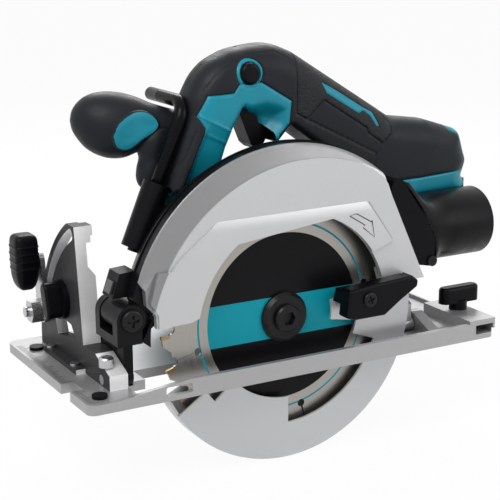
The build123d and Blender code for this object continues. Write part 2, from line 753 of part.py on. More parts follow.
# Front grip: a round pommel on a short stem in front of the handle's leg
pommel_root = Vector(-54, handle_y + 12, case_top + 3.5)
pommel_direction = Vector(-0.93, 0.33, 0.155).normalized()
pommel_length = 57.0
pommel_radius = 21.0
stem_near = handle_y + 1
stem_far = handle_y + 15
pommel_plane = Plane(origin=pommel_root, x_dir=pommel_direction,
                     z_dir=pommel_direction.cross(Vector(0, 0, 1)))
inset_depth = 0.7
inset_back = handle_y + 8


def pommel_half(shrink):
    """Half section of the pommel, drawn that much smaller."""
    reach = pommel_length - shrink
    radius = pommel_radius - shrink
    with BuildSketch(pommel_plane) as half:
        with BuildLine():
            crown = CenterArc((reach - radius, 0), radius, 0, 90)
            shoulder = TangentArc(crown @ 1, (reach * 0.3, radius * 0.7), tangent=(-1, 0))
            neck = TangentArc(shoulder @ 1, (0, radius * 0.56), tangent=shoulder % 1)
            Line(neck @ 1, (0, 0))
            Line((0, 0), crown @ 0)
        make_face()
    return half.sketch


with BuildPart() as front_grip_inset:
    revolve(pommel_half(inset_depth), axis=Axis(pommel_root, pommel_direction))
    kidney = [over(-91.5, 9), over(-88, 15), over(-79, 19.5), over(-71, 18.5), over(-63.5, 12.5),
              over(-65, 7.5), over(-75, 4), over(-85, 0.5)]
    extrude(side_shape(kidney, inset_back, 3.5), amount=inset_back - case_face_y, mode=Mode.INTERSECT)
front_grip_inset.part.label = "front_grip_inset"

with BuildPart() as front_grip:
    revolve(pommel_half(0), axis=Axis(pommel_root, pommel_direction))
    extrude(side_shape(kidney, inset_back, 3.5), amount=inset_back - case_face_y, mode=Mode.SUBTRACT)
    stem = [over(-50, -24), over(-44, 0), over(-50, 15), over(-62, 15), over(-75, -4), over(-73, -10),
            over(-76, -17), over(-74, -23), over(-66, -28)]
    extrude(side_shape(stem, stem_far, 2.5), amount=stem_far - stem_near)
    add(front_grip_inset.part, mode=Mode.SUBTRACT)
    add(handle_right.part, mode=Mode.SUBTRACT)
    add(grip_right.part, mode=Mode.SUBTRACT)
front_grip.part.label = "front_grip"

# Hanging hook: a bent rod that turns in a sleeve in front of the leg
hook_foot = Vector(-88, hook_y, case_top - 58.6)
hook_axis = Vector(math.sin(hook_tilt), 0, math.cos(hook_tilt))
sleeve_length = 40.0
hook_rise = 89.5
hook_bend = hook_foot + hook_axis * hook_rise
sleeve_plane = Plane(origin=hook_foot, z_dir=hook_axis, x_dir=(0, 1, 0))
with BuildPart() as hook_sleeve:
    with BuildSketch(sleeve_plane):
        Circle(hook_sleeve_diameter / 2)
    extrude(amount=sleeve_length)
    pad = [over(-84, -46), over(-70, -46), over(-70, -34), over(-78, -34)]
    extrude(side_shape(pad, hook_y), amount=hook_y - case_back)
    add(grip_left.part, mode=Mode.SUBTRACT)
    add(grip_right.part, mode=Mode.SUBTRACT)
    with BuildSketch(sleeve_plane):
        Circle(hook_rod / 2 + running_fit)
    extrude(amount=sleeve_length, mode=Mode.SUBTRACT)
hook_sleeve.part.label = "hook_sleeve"

with BuildPart() as hook:
    with BuildLine():
        FilletPolyline(hook_foot - hook_axis * 2, hook_bend, hook_bend + Vector(0, hook_arm, 0), radius=9)
    with BuildSketch(Plane(origin=hook_foot - hook_axis * 2, z_dir=hook_axis)):
        Circle(hook_rod / 2)
    sweep()
    with BuildSketch(Plane(origin=hook_foot - hook_axis * 2, z_dir=hook_axis)):
        Circle(hook_rod / 2 + 1.5)
    extrude(amount=1.6)
    with BuildSketch(Plane(origin=hook_bend + Vector(0, hook_arm - 22, 0), z_dir=(0, 1, 0))):
        Circle(hook_rod / 2 + 1.1)
    extrude(amount=24)
hook.part.label = "hook"

# Dust nozzle: hollow flange behind the case and a round tube
tube_start = case_rear + 2
with BuildPart() as dust_nozzle:
    flange = [behind(-32, -33), behind(-27, -29), behind(-22, -30.5), behind(-2, -44.5), behind(14, -47.5),
              (case_rear + 18, nozzle_z - 20), (case_rear + 4, nozzle_z - 18.5),
              (case_rear - 2.5, nozzle_z - 22.5),
              (case_rear - 9, nozzle_z - 21), (case_rear - 15, nozzle_z - 15.5)]
    extrude(side_shape(flange, lug_right), amount=lug_right - case_face_y - 1)
    chamfer(dust_nozzle.faces().sort_by(Axis.Y)[0].edges().sort_by(Axis.X)[-4:], 2.5)
    extrude(case_outline(case_back + 1, housing_foot, -rim_bead - sliding_gap),
            amount=case_back - plate_y + 2,
            mode=Mode.SUBTRACT)
    extrude(disc(0, spindle_height, pocket_radius, case_back + 1), amount=case_back - plate_y + 2,
            mode=Mode.SUBTRACT)
    extrude(front_disc(nozzle_y, nozzle_z, nozzle_radius, tube_start), amount=nozzle_length - 2)
    mouth = [(case_rear - 24, nozzle_z - 14.5), behind(-24, -50), behind(12, -52),
             (case_rear + 12, nozzle_z - 16.5)]
    extrude(side_shape(mouth, case_back_y), amount=case_back_y - case_face_y - 4, mode=Mode.SUBTRACT)
    extrude(front_disc(nozzle_y, nozzle_z, nozzle_radius - nozzle_wall, tube_start + 4),
            amount=nozzle_length,
            mode=Mode.SUBTRACT)
dust_nozzle.part.label = "dust_nozzle"

# Lamp in front of the case
with BuildPart() as lamp_housing:
    block = [(depth_x - 7, depth_z + 11), (depth_x - 2, depth_z + 25), (depth_x + 12, depth_z + 26),
             (depth_x + 12, depth_z + 14.5), (depth_x + 3, depth_z + 11)]
    extrude(side_shape(block, lug_right), amount=lug_right + 2)
    add(gear_housing.part, mode=Mode.SUBTRACT)
lamp_housing.part.label = "lamp_housing"

with BuildPart() as lamp_lens:
    low = (depth_x - 6.3, depth_z + 13)
    high = (depth_x - 3.8, depth_z + 20)
    extrude(side_shape([low, high, (high[0] - 1.1, high[1] + 0.4), (low[0] - 1.1, low[1] + 0.4)], 9),
            amount=8)
lamp_lens.part.label = "lamp_lens"

# Battery slide behind the handle, on the motor side
battery_left = handle_right_y - 14.0
battery_front = case_rear - 3
battery_top = case_top - 45
battery_right = battery_left + battery_width
with BuildPart() as battery_holder:
    with BuildSketch(Plane.XY.offset(battery_top)):
        with Locations((battery_front, handle_right_y)):
            Rectangle(battery_rail_length, battery_right - handle_right_y, align=(Align.MIN, Align.MIN))
    extrude(amount=23)
    fillet(battery_holder.faces().sort_by(Axis.Z)[-1].edges().sort_by(Axis.Y)[1:], 7)
    add(handle_right.part, mode=Mode.SUBTRACT)
    add(grip_right.part, mode=Mode.SUBTRACT)
battery_holder.part.label = "battery_holder"

rail_web = 5.0
rail_lip = 3.0
with BuildPart() as battery_rails:
    drop = battery_rail_depth + rail_lip
    with BuildSketch(front_plane(battery_front)):
        with BuildLine():
            low = battery_top - 3 - drop
            Polyline(
                (battery_left, battery_top), (battery_left, low), (battery_left + rail_web + rail_lip, low),
                (battery_left + rail_web + rail_lip, low + rail_lip),
                (battery_left + rail_web, low + rail_lip),
                (battery_left + rail_web, battery_top - 3), (battery_right - rail_web, battery_top - 3),
                (battery_right - rail_web, low + rail_lip),
                (battery_right - rail_web - rail_lip, low + rail_lip),
                (battery_right - rail_web - rail_lip, low), (battery_right, low),
                (battery_right, battery_top),
                close=True,
            )
        make_face()
    extrude(amount=battery_rail_length)
    with BuildSketch(front_plane(battery_front)):
        with Locations(((battery_left + battery_right) / 2, battery_top - 3)):
            Rectangle(28, 6, align=(Align.CENTER, Align.MAX))
    extrude(amount=20)
    add(handle_right.part, mode=Mode.SUBTRACT)
battery_rails.part.label = "battery_rails"

with BuildPart() as battery_terminals:
    middle = (battery_left + battery_right) / 2
    for offset_y in (-10, -4, 4, 10):
        with BuildSketch(front_plane(battery_front + 20)):
            with Locations((middle + offset_y, battery_top - 6.5)):
                Rectangle(0.8, 4.5)
        extrude(amount=12)
battery_terminals.part.label = "battery_terminals"

# Base: thin plate with a rail along the blade side, a blade slot and a fence channel at the tail
slot_front = -(guard_outer + 1.4)
slot_rear = guard_outer + 1.6
slot_right = 22.0
rail_inside = base_left + rail_thickness
lobe_slot_front = quadrant_back + 0.9
channel_width = 14.0
channel_height = 6.0
channel_x = base_rear - 15.5
stop_bolt = (arm_back + 0.5, 42.0)
stop_bolt_top = 21.2
fence_screw = (channel_x + channel_width / 2, 8.0)
block_top = 13.0
with BuildPart() as base_plate:
    with BuildSketch():
        with Locations((base_front, base_left)):
            Rectangle(base_rear - base_front, base_right - base_left, align=(Align.MIN, Align.MIN))
    extrude(amount=base_thickness)
    fillet(base_plate.edges().filter_by(Axis.Z), 5)
    rail = [(base_front + 18, base_thickness), (base_front + 62, rail_height),
            (base_rear - 20, rail_height),
            (base_rear - 20, 0), (base_front + 18, 0)]
    extrude(side_shape(rail, rail_inside), amount=rail_thickness)
    with BuildSketch(Plane.XY.offset(base_thickness)):
        with Locations((channel_x - 5, base_left)):
            Rectangle(base_rear - channel_x + 5, 50, align=(Align.MIN, Align.MIN))
    extrude(amount=block_top - base_thickness)
    with BuildSketch(Plane.XY.offset(base_thickness)):
        with Locations((slot_front - 2.2, slot_right + 4)):
            Rectangle(channel_x - slot_front - 4.8, base_right - slot_right - 9,
                      align=(Align.MIN, Align.MIN))
    extrude(amount=base_floor - base_thickness, mode=Mode.SUBTRACT)
    with BuildSketch():
        with Locations((slot_front, rail_inside)):
            Rectangle(slot_rear - slot_front, slot_right - rail_inside, align=(Align.MIN, Align.MIN))
        with Locations((lobe_slot_front, rail_inside)):
            Rectangle(slot_front - lobe_slot_front + 2, 5 - rail_inside, align=(Align.MIN, Align.MIN))
    extrude(amount=rail_height, mode=Mode.SUBTRACT)
    with BuildSketch(Plane.XY.offset(bevel_z - bevel_hub_radius - 0.4)):
        for hub_front, hub_back in ((arm_front, arm_back), (rear_hub_front, rear_hub_back)):
            with Locations(((hub_front + hub_back) / 2, bevel_y)):
                Rectangle(hub_back - hub_front + 1, 2 * bevel_hub_radius + 3)
    extrude(amount=rail_height, mode=Mode.SUBTRACT)
    with BuildSketch(side_plane(rail_inside)):
        with Locations((base_front + 56, 5.8)):
            RectangleRounded(17, 5.5, 1.5)
    extrude(amount=rail_thickness, mode=Mode.SUBTRACT)
    with BuildSketch(side_plane(base_right)):
        with Locations((channel_x, 3.5)):
            Rectangle(channel_width, channel_height, align=(Align.MIN, Align.MIN))
    extrude(amount=base_right - base_left, mode=Mode.SUBTRACT)
    with BuildSketch():
        with Locations((base_front, 15)):
            Rectangle(16, 14)
    extrude(amount=base_thickness, mode=Mode.SUBTRACT)
    with BuildSketch(Plane.XY.offset(base_floor)):
        with Locations(stop_bolt):
            Circle(5)
    extrude(amount=11 - base_floor)
    extrude(top_disc(*stop_bolt, 3, base_floor - 2), amount=20, mode=Mode.SUBTRACT)
    extrude(top_disc(*fence_screw, 3.5, channel_height), amount=20, mode=Mode.SUBTRACT)
base_plate.part.label = "base_plate"

# Bevel quadrant at the front of the base
slot_half_width = clamp_bolt_radius + 0.4
quadrant_radius = clamp_radius + slot_half_width + quadrant_rim
slot_end = polar(clamp_radius, clamp_angle + bevel_range + 1, bevel_y, bevel_z)
quadrant_top = slot_end[1] + slot_half_width + 2.2
edge_top = slot_end[0] - slot_half_width - 2.4
edge_low = 34.0
foot_top = 23.0
dial_y = 64.0
dial_z = 44.0
dial_stub = 3.0
with BuildPart() as bevel_quadrant:
    with BuildSketch(front_plane(quadrant_front)):
        with Locations((bevel_y, bevel_z)):
            Circle(quadrant_radius)
        with BuildLine():
            reach = 2 * quadrant_radius
            Polyline((edge_low, base_thickness), (edge_low, foot_top), (edge_top, quadrant_top),
                     (reach, quadrant_top), (reach, base_thickness), close=True)
        make_face(mode=Mode.INTERSECT)
        with BuildLine():
            Polyline((46, 24), (74, 19), (80, 33), (52, 31), close=True)
        make_face(mode=Mode.SUBTRACT)
    extrude(amount=quadrant_plate)
    foot = [(-4, base_thickness), (99, base_thickness), (97, 15), (edge_low, 17), (edge_low, foot_top),
            (16, foot_top), (-4, 15)]
    extrude(front_shape(foot, quadrant_front), amount=quadrant_foot)
    edge = [(edge_low, base_thickness), (edge_low + 9, base_thickness), (edge_low + 9, foot_top),
            (edge_top + 9, quadrant_top), (edge_top, quadrant_top), (edge_low, foot_top)]
    extrude(front_shape(edge, quadrant_front), amount=quadrant_foot)
    neck_x = quadrant_front + quadrant_plate
    neck = [(neck_x, quadrant_top - 24), (neck_x, quadrant_top - 10), (neck_x + 3, quadrant_top - 10),
            (neck_x + 3, quadrant_top - 6), (neck_x + 6, quadrant_top - 6), (neck_x + 6, quadrant_top - 32)]
    extrude(side_shape(neck, quadrant_radius), amount=quadrant_radius, mode=Mode.SUBTRACT)
    front_flange = [(32, base_thickness), (84, base_thickness), (84, 9), (32, 9)]
    extrude(front_shape(front_flange, quadrant_front - 6), amount=6.5)
    with BuildSketch(front_plane(quadrant_front)):
        add(arc_slot(bevel_y, bevel_z, clamp_radius, slot_half_width, clamp_angle - 1, bevel_range + 2))
    extrude(amount=20, mode=Mode.SUBTRACT)
    extrude(front_disc(bevel_y, bevel_z, bevel_pin_radius, quadrant_front), amount=20, mode=Mode.SUBTRACT)
    extrude(front_disc(dial_y, dial_z, dial_stub + running_fit, quadrant_front), amount=20,
            mode=Mode.SUBTRACT)
bevel_quadrant.part.label = "bevel_quadrant"

with BuildPart() as quadrant_screws:
    for y in (41, 80):
        extrude(top_disc(quadrant_front - 3, y, 2.8, 9), amount=1.6)
quadrant_screws.part.label = "quadrant_screws"

with BuildPart() as rail_adjusters:
    for y in (-9.4, 90):
        extrude(top_disc(base_front + 11, y, 4.5, base_thickness), amount=2)
rail_adjusters.part.label = "rail_adjusters"

with BuildPart() as square_stop_bolt:
    extrude(top_disc(*stop_bolt, 3, base_floor - 2), amount=9)
    extrude(top_disc(*stop_bolt, 5, 11), amount=stop_bolt_top - 11)
    chamfer(square_stop_bolt.edges().group_by(Axis.Z)[-1], 0.8)
    with BuildSketch(Plane.XY.offset(stop_bolt_top)):
        with Locations(stop_bolt):
            RegularPolygon(radius=2.9, side_count=6)
    extrude(amount=-5, mode=Mode.SUBTRACT)
square_stop_bolt.part.label = "square_stop_bolt"

rear_bracket_front = rear_hub_back + 0.6
with BuildPart() as rear_pivot_bracket:
    with BuildSketch(front_plane(rear_bracket_front)):
        with Locations((bevel_y, bevel_z)):
            Circle(8)
        with Locations((bevel_y, base_thickness)):
            Rectangle(44, 3, align=(Align.CENTER, Align.MIN))
        make_hull()
    extrude(amount=8)
    split(bisect_by=Plane.XY.offset(base_thickness), keep=Keep.TOP)
    extrude(front_disc(bevel_y, bevel_z, bevel_pin_radius, rear_bracket_front), amount=20,
            mode=Mode.SUBTRACT)
rear_pivot_bracket.part.label = "rear_pivot_bracket"

with BuildPart() as bevel_pivot_pins:
    extrude(front_disc(bevel_y, bevel_z, bevel_pin_radius, quadrant_front),
            amount=arm_back - quadrant_front)
    rear_pin = rear_bracket_front + 8 - rear_hub_front
    extrude(front_disc(bevel_y, bevel_z, bevel_pin_radius, rear_hub_front), amount=rear_pin)
bevel_pivot_pins.part.label = "bevel_pivot_pins"

with BuildPart() as fence_wing_screw:
    extrude(top_disc(*fence_screw, 3.5 - running_fit, channel_height + 2),
            amount=block_top - channel_height + 6)
    extrude(top_disc(*fence_screw, 6, block_top + sliding_gap), amount=6)
    with BuildSketch(Plane.XY.offset(block_top + 5)):
        with Locations(fence_screw):
            SlotOverall(30, 9)
    extrude(amount=11)
    fillet(fence_wing_screw.edges().group_by(Axis.Z)[-1], 2.5)
fence_wing_screw.part.label = "fence_wing_screw"

with BuildPart() as stop_dial:
    extrude(front_disc(dial_y, dial_z, dial_radius, quadrant_front - sliding_gap), amount=-3)
    with BuildSketch(front_plane(quadrant_front - sliding_gap - 3)):
        with Locations((dial_y, dial_z)):
            SlotOverall(2 * dial_radius - 2, 9, rotation=75)
    extrude(amount=-9)
    fillet(stop_dial.faces().sort_by(Axis.X)[0].edges(), 1.5)
    extrude(front_disc(dial_y, dial_z, dial_stub, quadrant_front - sliding_gap), amount=quadrant_plate)
stop_dial.part.label = "stop_dial"

# Tilting frame: front bracket with the depth pivot, rear bracket with the depth guide
hub_radius = bevel_hub_radius
cheek_low = depth_z - 14.5
cheek_high = depth_z - 9.2
cheek_front = depth_x - 9
cheek_rear = depth_x + 6.5
left_cheek = (lug_left - sliding_gap - 6.3, lug_left - sliding_gap)
right_cheek = (lug_right + sliding_gap, lug_right + sliding_gap + 6)
with BuildPart() as tilt_bracket:
    extrude(front_disc(bevel_y, bevel_z, hub_radius, arm_front), amount=arm_back - arm_front)
    rest = stop_bolt_top + sliding_gap
    arm = [(bevel_y - 5, bevel_z), (bevel_y - 5, cheek_high), (bevel_y + 12, cheek_high),
           (clamp_y - 6, clamp_z + 8),
           (clamp_y, clamp_z + 8), (clamp_y + 8, clamp_z), (clamp_y, clamp_z - 8), (clamp_y - 12, rest),
           (bevel_y + 16, rest), (bevel_y + 5, bevel_z)]
    extrude(front_shape(arm, arm_front), amount=arm_back - arm_front)
    web = [(cheek_front, cheek_low), (cheek_rear, cheek_low), (cheek_rear, cheek_high),
           (cheek_front, cheek_high)]
    extrude(side_shape(web, right_cheek[1]), amount=right_cheek[1] - left_cheek[0])
    for near, far in (left_cheek, right_cheek):
        with BuildSketch(side_plane(far)):
            with Locations((depth_x, depth_z)):
                Circle(9)
            with BuildLine():
                Polyline((cheek_front, depth_z), (cheek_front, cheek_low), (cheek_rear, cheek_low),
                         (cheek_rear, depth_z), close=True)
            make_face()
        extrude(amount=far - near)
    extrude(front_disc(bevel_y, bevel_z, bevel_pin_radius + running_fit, arm_front), amount=20,
            mode=Mode.SUBTRACT)
    extrude(front_disc(clamp_y, clamp_z, clamp_bolt_radius, arm_front), amount=20, mode=Mode.SUBTRACT)
    extrude(disc(depth_x, depth_z, depth_pin_radius, right_cheek[1]), amount=60, mode=Mode.SUBTRACT)
tilt_bracket.part.label = "tilt_bracket"

with BuildPart() as depth_pivot_pin:
    extrude(disc(depth_x, depth_z, depth_pin_radius, right_cheek[1]), amount=right_cheek[1] - left_cheek[0])
    extrude(disc(depth_x, depth_z, 6.5, left_cheek[0]), amount=2.4)
    fillet(depth_pivot_pin.edges().group_by(Axis.Y)[0], 1.6)
    with BuildSketch(side_plane(left_cheek[0] - 1.2)):
        with Locations((depth_x, depth_z)):
            Rectangle(7, 1.6)
            Rectangle(1.6, 7)
    extrude(amount=2, mode=Mode.SUBTRACT)
depth_pivot_pin.part.label = "depth_pivot_pin"

lever_plate_front = quadrant_front - sliding_gap - 3
nut_front = lever_plate_front - 8
with BuildPart() as bevel_clamp_bolt:
    extrude(front_disc(clamp_y, clamp_z, clamp_bolt_radius, nut_front - 3), amount=arm_back - nut_front + 3)
    with BuildSketch(front_plane(arm_back)):
        with Locations((clamp_y, clamp_z)):
            RegularPolygon(radius=6.5, side_count=6)
    extrude(amount=4)
bevel_clamp_bolt.part.label = "bevel_clamp_bolt"

grip_y = clamp_y + 4
grip_z = clamp_z + 31
with BuildPart() as bevel_lever:
    with BuildSketch(front_plane(lever_plate_front)):
        with Locations((clamp_y, clamp_z)):
            Circle(lever_hub_radius)
        with Locations((grip_y, grip_z)):
            Circle(6)
        make_hull()
    extrude(amount=3)
    extrude(front_disc(clamp_y, clamp_z, clamp_bolt_radius + running_fit, lever_plate_front), amount=4,
            mode=Mode.SUBTRACT)
bevel_lever.part.label = "bevel_lever"

with BuildPart() as bevel_lever_nut:
    with BuildSketch(front_plane(nut_front)):
        with Locations((clamp_y, clamp_z)):
            RegularPolygon(radius=7.5, side_count=6)
            Circle(clamp_bolt_radius + running_fit, mode=Mode.SUBTRACT)
    extrude(amount=lever_plate_front - nut_front)
bevel_lever_nut.part.label = "bevel_lever_nut"

with BuildPart() as bevel_lever_grip:
    with BuildSketch(front_plane(lever_plate_front)):
        with BuildLine():
            Polyline((grip_y - 7, grip_z + 18), (grip_y + 7, grip_z + 17), (grip_y + 9, grip_z - 6),
                     (grip_y + 4, grip_z - 18), (grip_y - 4, grip_z - 18),
                     (grip_y - 8, grip_z - 8), close=True)
        make_face()
    extrude(amount=-16)
    fillet(bevel_lever_grip.faces().sort_by(Axis.X)[0].edges(), 3)
    with BuildSketch(front_plane(lever_plate_front - 16)):
        with GridLocations(1, 7, 1, 4):
            with Locations((grip_y, grip_z + 3)):
                Rectangle(30, 1.6)
    extrude(amount=1.2, mode=Mode.SUBTRACT)
bevel_lever_grip.part.label = "bevel_lever_grip"

with BuildPart() as rear_tilt_bracket:
    extrude(front_disc(bevel_y, bevel_z, hub_radius, rear_hub_front), amount=rear_hub_back - rear_hub_front)
    upright = [(bevel_y - 5, bevel_z), (bevel_y - 5, 24), (28, 38), (guide_y, 40), (guide_y, 18),
               (bevel_y + 14, 18),
               (bevel_y + 5, bevel_z)]
    extrude(front_shape(upright, rear_hub_front), amount=6)
    extrude(front_disc(bevel_y, bevel_z, bevel_pin_radius + running_fit, rear_hub_front), amount=20,
            mode=Mode.SUBTRACT)
rear_tilt_bracket.part.label = "rear_tilt_bracket"

guide_far = guide_y + guide_thickness
rivet_x = rear_hub_front + 3
rivet_heights = (24, 34)
with BuildPart() as depth_guide:
    with BuildSketch(side_plane(guide_far)):
        add(arc_slot(depth_x, depth_z, guide_radius, guide_half_width, guide_angle - 8, depth_range + 10))
        with BuildLine():
            Polyline((depth_clamp_x - 8, 18), (rear_hub_front + 6, 18), (rear_hub_front + 6, 40),
                     (depth_clamp_x - 8, 40), close=True)
        make_face()
        add(arc_slot(depth_x, depth_z, guide_radius, depth_bolt_radius + sliding_gap, guide_angle - 1,
                     depth_range + 2), mode=Mode.SUBTRACT)
    extrude(amount=guide_thickness)
    for z in rivet_heights:
        extrude(disc(rivet_x, z, 2, guide_far), amount=20, mode=Mode.SUBTRACT)
depth_guide.part.label = "depth_guide"

with BuildPart() as guide_rivets:
    for z in rivet_heights:
        extrude(disc(rivet_x, z, 2, guide_far), amount=guide_thickness)
        extrude(disc(rivet_x, z, 3.4, guide_far + 1.2), amount=1.2)
guide_rivets.part.label = "guide_rivets"

lever_near = guide_far + sliding_gap
lever_far = lever_near + 7
with BuildPart() as depth_clamp_bolt:
    bolt_length = lever_far + 13 - handle_right_y
    extrude(disc(depth_clamp_x, depth_clamp_z, depth_bolt_radius, lever_far + 2), amount=bolt_length)
    spacer = guide_y - sliding_gap - handle_right_y
    extrude(disc(depth_clamp_x, depth_clamp_z, 6.5, guide_y - sliding_gap), amount=spacer)
    extrude(disc(depth_clamp_x, depth_clamp_z, 5.5, lever_far + 2 + sliding_gap), amount=2)
depth_clamp_bolt.part.label = "depth_clamp_bolt"

with BuildPart() as depth_lever:
    tip = polar(42, -20, depth_clamp_x, depth_clamp_z)
    with BuildSketch(side_plane(lever_far)):
        with Locations((depth_clamp_x, depth_clamp_z)):
            Circle(9)
        with Locations(tip):
            Circle(5.5)
        make_hull()
    extrude(amount=lever_far - lever_near)
    fillet(depth_lever.faces().sort_by(Axis.Y)[-1].edges(), 2)
    extrude(disc(depth_clamp_x, depth_clamp_z, depth_bolt_radius + running_fit, lever_far), amount=10,
            mode=Mode.SUBTRACT)
depth_lever.part.label = "depth_lever"

# Shaft lock: a pin in the front wall of the gearbox
with BuildPart() as shaft_lock:
    pin_tip = -(gear_tip + 0.6 + lock_travel)
    extrude(front_disc(lock_y, spindle_height, lock_radius, pin_tip), amount=-22)
    extrude(front_disc(lock_y, spindle_height, 5.5, pin_tip - 16), amount=-6)
    fillet(shaft_lock.edges().group_by(Axis.X)[0], 1.5)
shaft_lock.part.label = "shaft_lock"

screw_places = [over(30, 22), behind(-32, 2), behind(20, -14), over(-48, -39),
                (depth_clamp_x + 16, motor_z + 34)]
end_y = motor_end_y + end_cover_length
with BuildPart() as housing_screws:
    for x, z in screw_places:
        extrude(disc(x, z, 3.2, handle_right_y + 1), amount=1)
    for angle in (0, 90, 180, 270):
        place = polar(26, angle, motor_x, motor_z)
        extrude(disc(*place, 3, end_y + 1), amount=1)
    extrude(disc(case_rear - 0.5, nozzle_z - 16.5, 3.4, case_face_y + 1), amount=1.6)
housing_screws.part.label = "housing_screws"

pieces = (blade, carbide_tips, inner_flange, outer_flange, blade_bolt, spindle, drive_gear, rotor,
          fan, stator, bearings, lower_guard, guard_lever, guard_lever_screw, blade_case,
          gear_housing, guard_spring, motor_housing, motor_end_cover, handle_left, handle_right,
          grip_left, grip_right, trigger, switch_unit, lock_off_button, front_grip,
          front_grip_inset, hook_sleeve, hook, dust_nozzle, lamp_housing, lamp_lens, battery_holder,
          battery_rails, battery_terminals, base_plate, bevel_quadrant, quadrant_screws,
          rail_adjusters, square_stop_bolt, rear_pivot_bracket, bevel_pivot_pins, fence_wing_screw,
          stop_dial, tilt_bracket, depth_pivot_pin, bevel_clamp_bolt, bevel_lever, bevel_lever_nut,
          bevel_lever_grip, rear_tilt_bracket, depth_guide, guide_rivets, depth_clamp_bolt,
          depth_lever, shaft_lock, housing_screws)
for piece in pieces:
    export_step(piece.part, f"parts/{piece.part.label}.step")
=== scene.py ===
"""Looks for the circular saw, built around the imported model. Metres, same frame as the parts."""

import json
import math

import bmesh
import bpy
import numpy as np
from mathutils import Matrix, Vector
from mathutils.bvhtree import BVHTree
from mathutils.geometry import delaunay_2d_cdt
from mathutils.kdtree import KDTree


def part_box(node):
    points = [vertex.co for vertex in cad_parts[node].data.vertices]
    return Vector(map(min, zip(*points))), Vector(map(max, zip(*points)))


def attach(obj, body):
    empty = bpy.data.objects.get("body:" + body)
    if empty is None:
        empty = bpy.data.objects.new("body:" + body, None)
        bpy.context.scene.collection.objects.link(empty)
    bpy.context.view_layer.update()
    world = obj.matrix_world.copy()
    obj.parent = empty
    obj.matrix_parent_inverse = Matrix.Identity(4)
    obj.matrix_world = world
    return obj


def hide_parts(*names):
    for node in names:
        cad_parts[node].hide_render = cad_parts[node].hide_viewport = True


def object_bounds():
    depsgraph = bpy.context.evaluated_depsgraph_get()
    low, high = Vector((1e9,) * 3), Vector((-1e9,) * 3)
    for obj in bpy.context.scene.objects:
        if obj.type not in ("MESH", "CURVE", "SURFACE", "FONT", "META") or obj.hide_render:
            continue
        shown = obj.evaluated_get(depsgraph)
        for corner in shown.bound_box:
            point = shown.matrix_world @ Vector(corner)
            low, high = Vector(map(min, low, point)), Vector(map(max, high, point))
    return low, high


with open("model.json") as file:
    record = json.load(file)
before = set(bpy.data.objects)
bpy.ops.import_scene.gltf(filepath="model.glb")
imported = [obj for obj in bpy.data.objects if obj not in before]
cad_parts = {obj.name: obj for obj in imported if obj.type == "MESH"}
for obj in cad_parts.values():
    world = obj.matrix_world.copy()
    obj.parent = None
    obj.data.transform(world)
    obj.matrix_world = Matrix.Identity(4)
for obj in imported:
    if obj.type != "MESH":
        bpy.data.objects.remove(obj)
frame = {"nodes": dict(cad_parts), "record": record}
cad_low, cad_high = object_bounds()
nodes = frame["nodes"]

# Lines and places are written in millimetres, and MM brings them to metres
MM = 0.001

# Height of the blade's axis, and the raised field of the case in the side view, as (x, z)
blade_height = 32.0
field_centre, field_radius = (10.5, 23.05), 107.0


# Materials
def shader(name, colour, rough, metal=0.0, spec=0.5):
    """Principled material with its constant values set on the sockets."""
    mat = bpy.data.materials.new(name)
    mat.use_nodes = True
    tree = mat.node_tree
    bsdf = tree.nodes["Principled BSDF"]
    bsdf.inputs["Base Color"].default_value = (*colour, 1)
    bsdf.inputs["Roughness"].default_value = rough
    bsdf.inputs["Metallic"].default_value = metal
    bsdf.inputs["Specular IOR Level"].default_value = spec
    return mat, tree, bsdf


def add_node(tree, kind, **values):
    """New node with properties, and numbered or named input values."""
    item = tree.nodes.new(kind)
    for key, value in values.items():
        if key.startswith("in_"):
            socket = key[3:]
            item.inputs[int(socket) if socket.isdigit() else socket.replace("_", " ")].default_value = value
        else:
            setattr(item, key, value)
    return item


def object_coords(tree, scale=(1, 1, 1)):
    """Object coordinates, stretched by a scale."""
    coords = add_node(tree, "ShaderNodeTexCoord")
    mapping = add_node(tree, "ShaderNodeMapping")
    mapping.inputs["Scale"].default_value = scale
    tree.links.new(coords.outputs["Object"], mapping.inputs["Vector"])
    return mapping.outputs["Vector"]


def noise(tree, vector, scale, detail=4.0, roughness=0.55):
    """Noise between 0 and 1, with scale in features per metre."""
    item = add_node(tree, "ShaderNodeTexNoise", in_Scale=scale, in_Detail=detail, in_Roughness=roughness)
    tree.links.new(vector, item.inputs["Vector"])
    return item.outputs["Fac"]


def spread(tree, value, low, high, start=0.3, end=0.7):
    """Value from start..end mapped onto low..high."""
    item = add_node(tree, "ShaderNodeMapRange", in_1=start, in_2=end, in_3=low, in_4=high)
    tree.links.new(value, item.inputs[0])
    return item.outputs[0]


def tint(tree, value, first, second):
    """Colour between two colours by a value."""
    item = add_node(tree, "ShaderNodeMix", data_type="RGBA")
    item.inputs["A"].default_value = (*first, 1)
    item.inputs["B"].default_value = (*second, 1)
    tree.links.new(value, item.inputs["Factor"])
    return item.outputs["Result"]


def grain(tree, bsdf, height, strength, distance):
    """Bump of the surface by a height."""
    item = add_node(tree, "ShaderNodeBump", in_Strength=strength, in_Distance=distance)
    tree.links.new(height, item.inputs["Height"])
    tree.links.new(item.outputs["Normal"], bsdf.inputs["Normal"])


def shade(colour, factor):
    """Colour made lighter or darker."""
    return tuple(min(1.0, c * factor) for c in colour)


def calc(tree, operation, *values):
    """Math node on numbers or sockets."""
    item = add_node(tree, "ShaderNodeMath", operation=operation)
    for socket, value in zip(item.inputs, values):
        if isinstance(value, (int, float)):
            socket.default_value = value
        else:
            tree.links.new(value, socket)
    return item.outputs[0]


